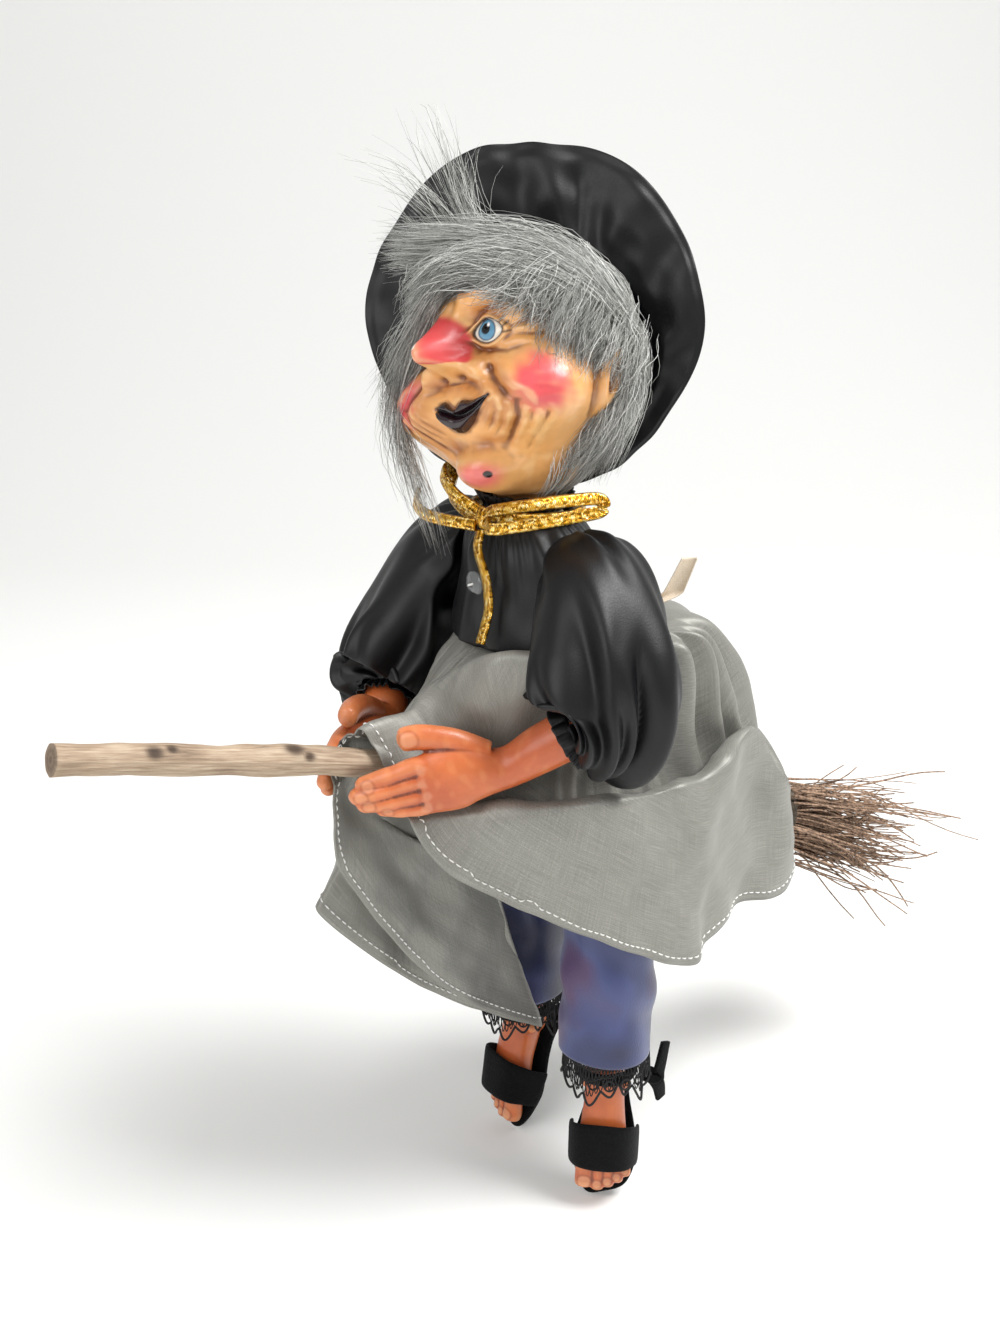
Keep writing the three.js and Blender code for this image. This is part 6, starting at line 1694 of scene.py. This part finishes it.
def dress_leg(name, side):
    """A satin legging on its stuffed leg, with lace at the hem, and the foot below it."""
    body = f"{name}_leg"
    foot_at = np.array([side * HIP[0], HIP[1], ANKLE_Z])

    def leg_rings(rows, high, sides, folds=0.0):
        share = (high - HEM_Z) / (HIP[2] - HEM_Z)
        r = np.array(profile(rows, np.minimum(share, 1))[0])
        dome = np.sqrt(np.maximum(1 - (np.maximum(high - HIP[2], 0) / r[-1]) ** 2, 0.02))
        a = spokes(sides)
        r = (r * dome)[:, None] + folds
        x = side * HIP[0] + r * np.cos(a)
        return np.stack([x, HIP[1] + r * np.sin(a), np.broadcast_to(high[:, None], x.shape)], -1)

    # Legging: the satin sags into soft rings and slanting folds above its hem.
    sides = 120
    a = spokes(sides)
    top = HIP[2] + LEG_TOP_R * np.sin(np.radians(np.linspace(8, 80, 14)))
    high = np.concatenate([np.linspace(HEM_Z, HIP[2], 96), top])
    h = (high - HEM_Z)[:, None]
    folds = 0.8 * np.sin(0.24 * h + 1.1 * np.sin(a + side) + 0.9 * np.sin(2 * a)) * smooth(h, 4, 22)
    slanting = 0.5 * np.sin(0.11 * h + 5 * a + side) * smooth(h, 0, 18)
    folds = folds + 0.7 * np.sin(3 * a + 0.05 * h + 2 * side) + slanting
    folds = (folds - 0.5) * fade(h, 70, 108)
    rings = leg_rings(LEG_ROWS, high, sides, folds)
    legging = sewn(f"{name}_satin_legging", rings, BLUE_SATIN, (body, "blue_satin", f"{name}_legging"))

    shank_top = ANKLE_Z + SHANK_LONG
    high = np.linspace(shank_top + GAP, HIP[2], 40)
    share = (shank_top - HEM_Z) / (HIP[2] - HEM_Z)
    rows = [(share, SHANK_R + 2.4), ((share + 1) / 2, LEG_TOP_R - 4.2), (1, LEG_TOP_R - 1.6)]
    core = make(f"{name}_calico_leg", *loft(leg_rings(rows, high, 48)), CALICO)
    settle(core, body, "calico", f"{name}_leg_core")

    # Lace: a net of crossed threads between a straight edge and a scalloped one.
    r = LEGGING_R * 0.99 - SATIN_WALL - 0.7
    turn = np.linspace(0, 2 * np.pi, 361)[:-1]
    centre = np.array([side * HIP[0], HIP[1], 0])

    def lace_line(drop, out, thick):
        drop = LACE_DEEP * drop
        sag = 1 + 0.16 * wavy(turn, 5, 74) + 0.1 * wavy(turn, 11, 75)
        z = LACE_Z - drop * sag
        wide = r + out + 0.09 * drop * wavy(turn, 7, 76)
        path = centre + np.stack([wide * np.cos(turn), wide * np.sin(turn), z + 0 * turn], -1)
        return loft(sweep(path, thick, thick, (0, 0, 1), 5, closed=True), True)

    scallops = 10.6 + 2.6 * np.abs(np.sin(8 * turn))
    edges = ((0.4, 0, 0.45), (3.4, 0.1, 0.3), (6.4, 0.1, 0.28), (scallops, 0.3, 0.5))
    threads = [lace_line(*edge) for edge in edges]
    for shift in (0, np.pi):
        for depth, mid, count in ((1.5, 1.9, 54), (1.5, 4.9, 40), (2.2, 8.6, 32)):
            threads.append(lace_line(mid + depth * np.cos(count * turn + shift), 0.15 * np.cos(shift), 0.24))
    for k in range(16):
        middle = (k + 0.5) * np.pi / 8
        eyelet = np.linspace(0, 2 * np.pi, 17)[:-1]
        ring = middle + 0.11 * np.cos(eyelet)
        drop = LACE_Z - LACE_DEEP * (8.9 + 1.7 * np.sin(eyelet))
        path = centre + np.stack([(r + 0.2) * np.cos(ring), (r + 0.2) * np.sin(ring), drop], -1)
        out = (math.cos(middle), math.sin(middle), 0)
        threads.append(loft(sweep(path, 0.4, 0.4, out, 5, closed=True), True))
    lace = make(f"{name}_cotton_lace", *bundle(threads), LACE)
    settle(lace, body, "black_lace", f"{name}_lace")
    make_foot(name, side, foot_at)


FOOT_ROWS = [
    (0, SHANK_R, SHANK_R),
    (0.25, SHANK_R, SHANK_R),
    (0.45, 7.8, 8.4),
    (0.65, 8.8, 7.4),
    (0.85, 10.5, 6),
    (1, 9.4, 3.6),
]
TOE_ROWS = [(0, 0.9), (0.5, 1.02), (0.8, 1), (0.93, 0.8), (1, 0.3)]
SOLE_TOP, SOLE_WALL = -11.4, 2.2
SOLE_EDGE = [(0, 11), (8, 7), (9, -4), (13.1, -24.8), (10, -38)]
SOLE_EDGE += [(2, -42.4), (-7, -42.4), (-12.5, -26.4), (-8, -6), (-7.6, 7)]


def make_foot(name, side, foot_at):
    """The moulded foot, and the felt sandal tied on it."""
    body = f"{name}_leg"

    def placed(p):
        return turned(pitched(np.asarray(p, float), FOOT_PITCH), FOOT_YAW[side]) + foot_at

    pitch = math.radians(FOOT_PITCH)
    shank = np.array([0, math.sin(pitch), math.cos(pitch)])
    level = np.cross(shank, (1, 0, 0))
    down = [shank * SHANK_LONG, shank * SHANK_LONG / 2, (0, 0, 0)]
    line = curve([*down, (0, -11, -1.6), (0, -22, -4), (0, -31.2, -5.6)], 60)
    t = np.linspace(0, 1, 61)
    parts = [loft(sweep(line, *profile(FOOT_ROWS, t), (1, 0, 0), 28))]
    heel = curve([(0, 10.4, -4.8), (0, 8.5, -4.8), (0, 4.5, -4.6), (0, 0, -4.4), (0, -2.0, -4.2)], 24)
    size = 6.3 * np.sqrt(np.maximum(1 - (np.linspace(-1, 1, 25)) ** 2, 0.01))
    parts.append(loft(sweep(heel, size, size, (1, 0, 0), 24)))
    for x in (-6.5, 6.5):
        bone = shank * 3 + np.array([side * x, -0.6, 0])
        bump = bone + np.outer(np.linspace(-3.4, 3.4, 15), (1, 0, 0))
        size = 2.9 * np.sqrt(np.maximum(1 - np.linspace(-1, 1, 15) ** 2, 0.01))
        parts.append(loft(sweep(bump, size, size, (0, 1, 0), 16)))
    nails = []
    for x, back, r in TOES:
        tip = -FOOT_LONG + back
        toe = [(side * x * 0.9, -26.4, -5.0)]
        toe += [(side * x, tip + behind, z) for behind, z in ((9, -4.6), (4, -6.2), (1.6, -6.5), (0, -6.8))]
        size = r * profile(TOE_ROWS, np.linspace(0, 1, 31))[0]
        parts.append(loft(sweep(curve(toe, 30), size, size, (1, 0, 0), 18)))
        nails.append((placed((side * x, tip + 2.3, -6.4 + r * 0.85)), r * 0.72))
    points, faces = bundle(parts)
    foot = make(f"{name}_vinyl_foot", placed(points), faces, VINYL)
    modify(foot, "REMESH", mode="VOXEL", voxel_size=0.5 * MM)
    modify(foot, "SMOOTH", factor=0.5, iterations=4)
    p, deep = hollows(foot, 9)
    layers = [
        (0.5 + 0.5 * ripple(p, 14, 71), "#b4552b"),
        # Painted shade: dark brown in the hollows, by how deep each vertex lies. Painted highlight, with
        # some wear: lighter on what stands out.
        (smooth(deep, 0.02, 0.16), "#7c3616"),
        (0.5 * smooth(-deep, 0.05, 0.2), "#e29a66"),
    ]
    for at, size in nails:
        d = np.linalg.norm(p - at, axis=1)
        layers += [(0.4 * fade(d, size * 0.75, size), "#dba981"), (0.5 * bell((d - size) / 0.4), "#7a3a1c")]
    paint(foot, TAN, layers)
    settle(foot, body, "tan_vinyl", f"{name}_foot")

    # Sandal of black felt: a cut sole, a band over the toes and a strap tied round the ankle.
    edge = curve([(side * x, y, 0) for x, y in SOLE_EDGE], 160, closed=True)
    middle = edge.mean(0)
    cuts = [(0.02, 0), (0.5, 0), (0.9, 0), (0.985, 0.1), (1, 0.45), (1, 1.75), (0.985, 2.1)]
    cuts += [(f, SOLE_WALL) for f in (0.9, 0.5, 0.02)]
    rings = np.stack([middle + (edge - middle) * f + np.array([0, 0, SOLE_TOP - d]) for f, d in cuts])
    rings[..., 2] += 0.12 * ripple(rings, 9, 73)
    sole = make(f"{name}_felt_sole", *loft(placed(rings)), FELT)
    settle(sole, body, "black_felt", f"{name}_sandal_sole")

    a = np.linspace(0, np.pi, 60)
    across = np.sign(np.cos(a)) * np.abs(np.cos(a)) ** 0.62
    arch = np.stack([13.1 * across, -22.8 + 0 * a, SOLE_TOP + GAP + 17 * np.sin(a) ** 0.9], -1)
    wide = 9.4 * (0.8 + 0.2 * smooth(np.sin(a), 0.3, 0.9)) + 0.3 * np.sin(5 * a)
    rings = placed(sweep(arch, wide, 0.9, (0, 1, 0.3), 16, corner=0.5))
    band = make(f"{name}_felt_band", *loft(rings), FELT)
    settle(band, body, "black_felt", f"{name}_toe_band")

    strap_r, strap_at = 11.3, 10
    a = np.linspace(0, 2 * np.pi, 97)[:-1]
    ring = strap_r * (np.outer(np.cos(a), (1, 0, 0)) + np.outer(np.sin(a), level)) + shank * strap_at
    rings = sweep(ring, 2.5, 0.9, shank, 14, closed=True, corner=0.5)
    strap = make(f"{name}_felt_strap", *loft(placed(rings), True), FELT)
    settle(strap, body, "black_felt", f"{name}_ankle_strap")

    def tied(out, up, turn):
        return np.array([side * (strap_r + 2.3 + out), 0, 0]) + shank * (strap_at - 2 + up) + level * turn

    outside = LEGGING_R - strap_r
    ears = [[tied(0, 0, 0), tied(4, -2, 2), tied(7, -8, 5), tied(8, -15, 7)]]
    ears += [[tied(0, -1, 0), tied(6, -3, 2), tied(outside, -1, 4), tied(outside + 2, 10, 7)]]
    parts = []
    for route in ears:
        path = curve(route, 40)
        wide = 2.4 + 0.8 * np.sin(np.pi * np.linspace(0, 1, 41))
        rings = sweep(path, wide, 0.9, level + np.array([0.8 * side, 0, 0]), 12, corner=0.5)
        parts.append(loft(placed(rings)))
    tie = make(f"{name}_felt_tie", *bundle(parts), FELT)
    settle(tie, body, "black_felt", f"{name}_ankle_tie")


# Making

set_camera()
set_stage()
tie_bow()
dress_body()
for name in ARMS:
    dress_arm(name)
hang_skirt()
make_broom()
make_head()
dress_hair()
make_hat()
dress_leg("left", 1)
dress_leg("right", -1)
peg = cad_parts["neck_peg"]
peg.data.materials.clear()
peg.data.materials.append(DOWEL)
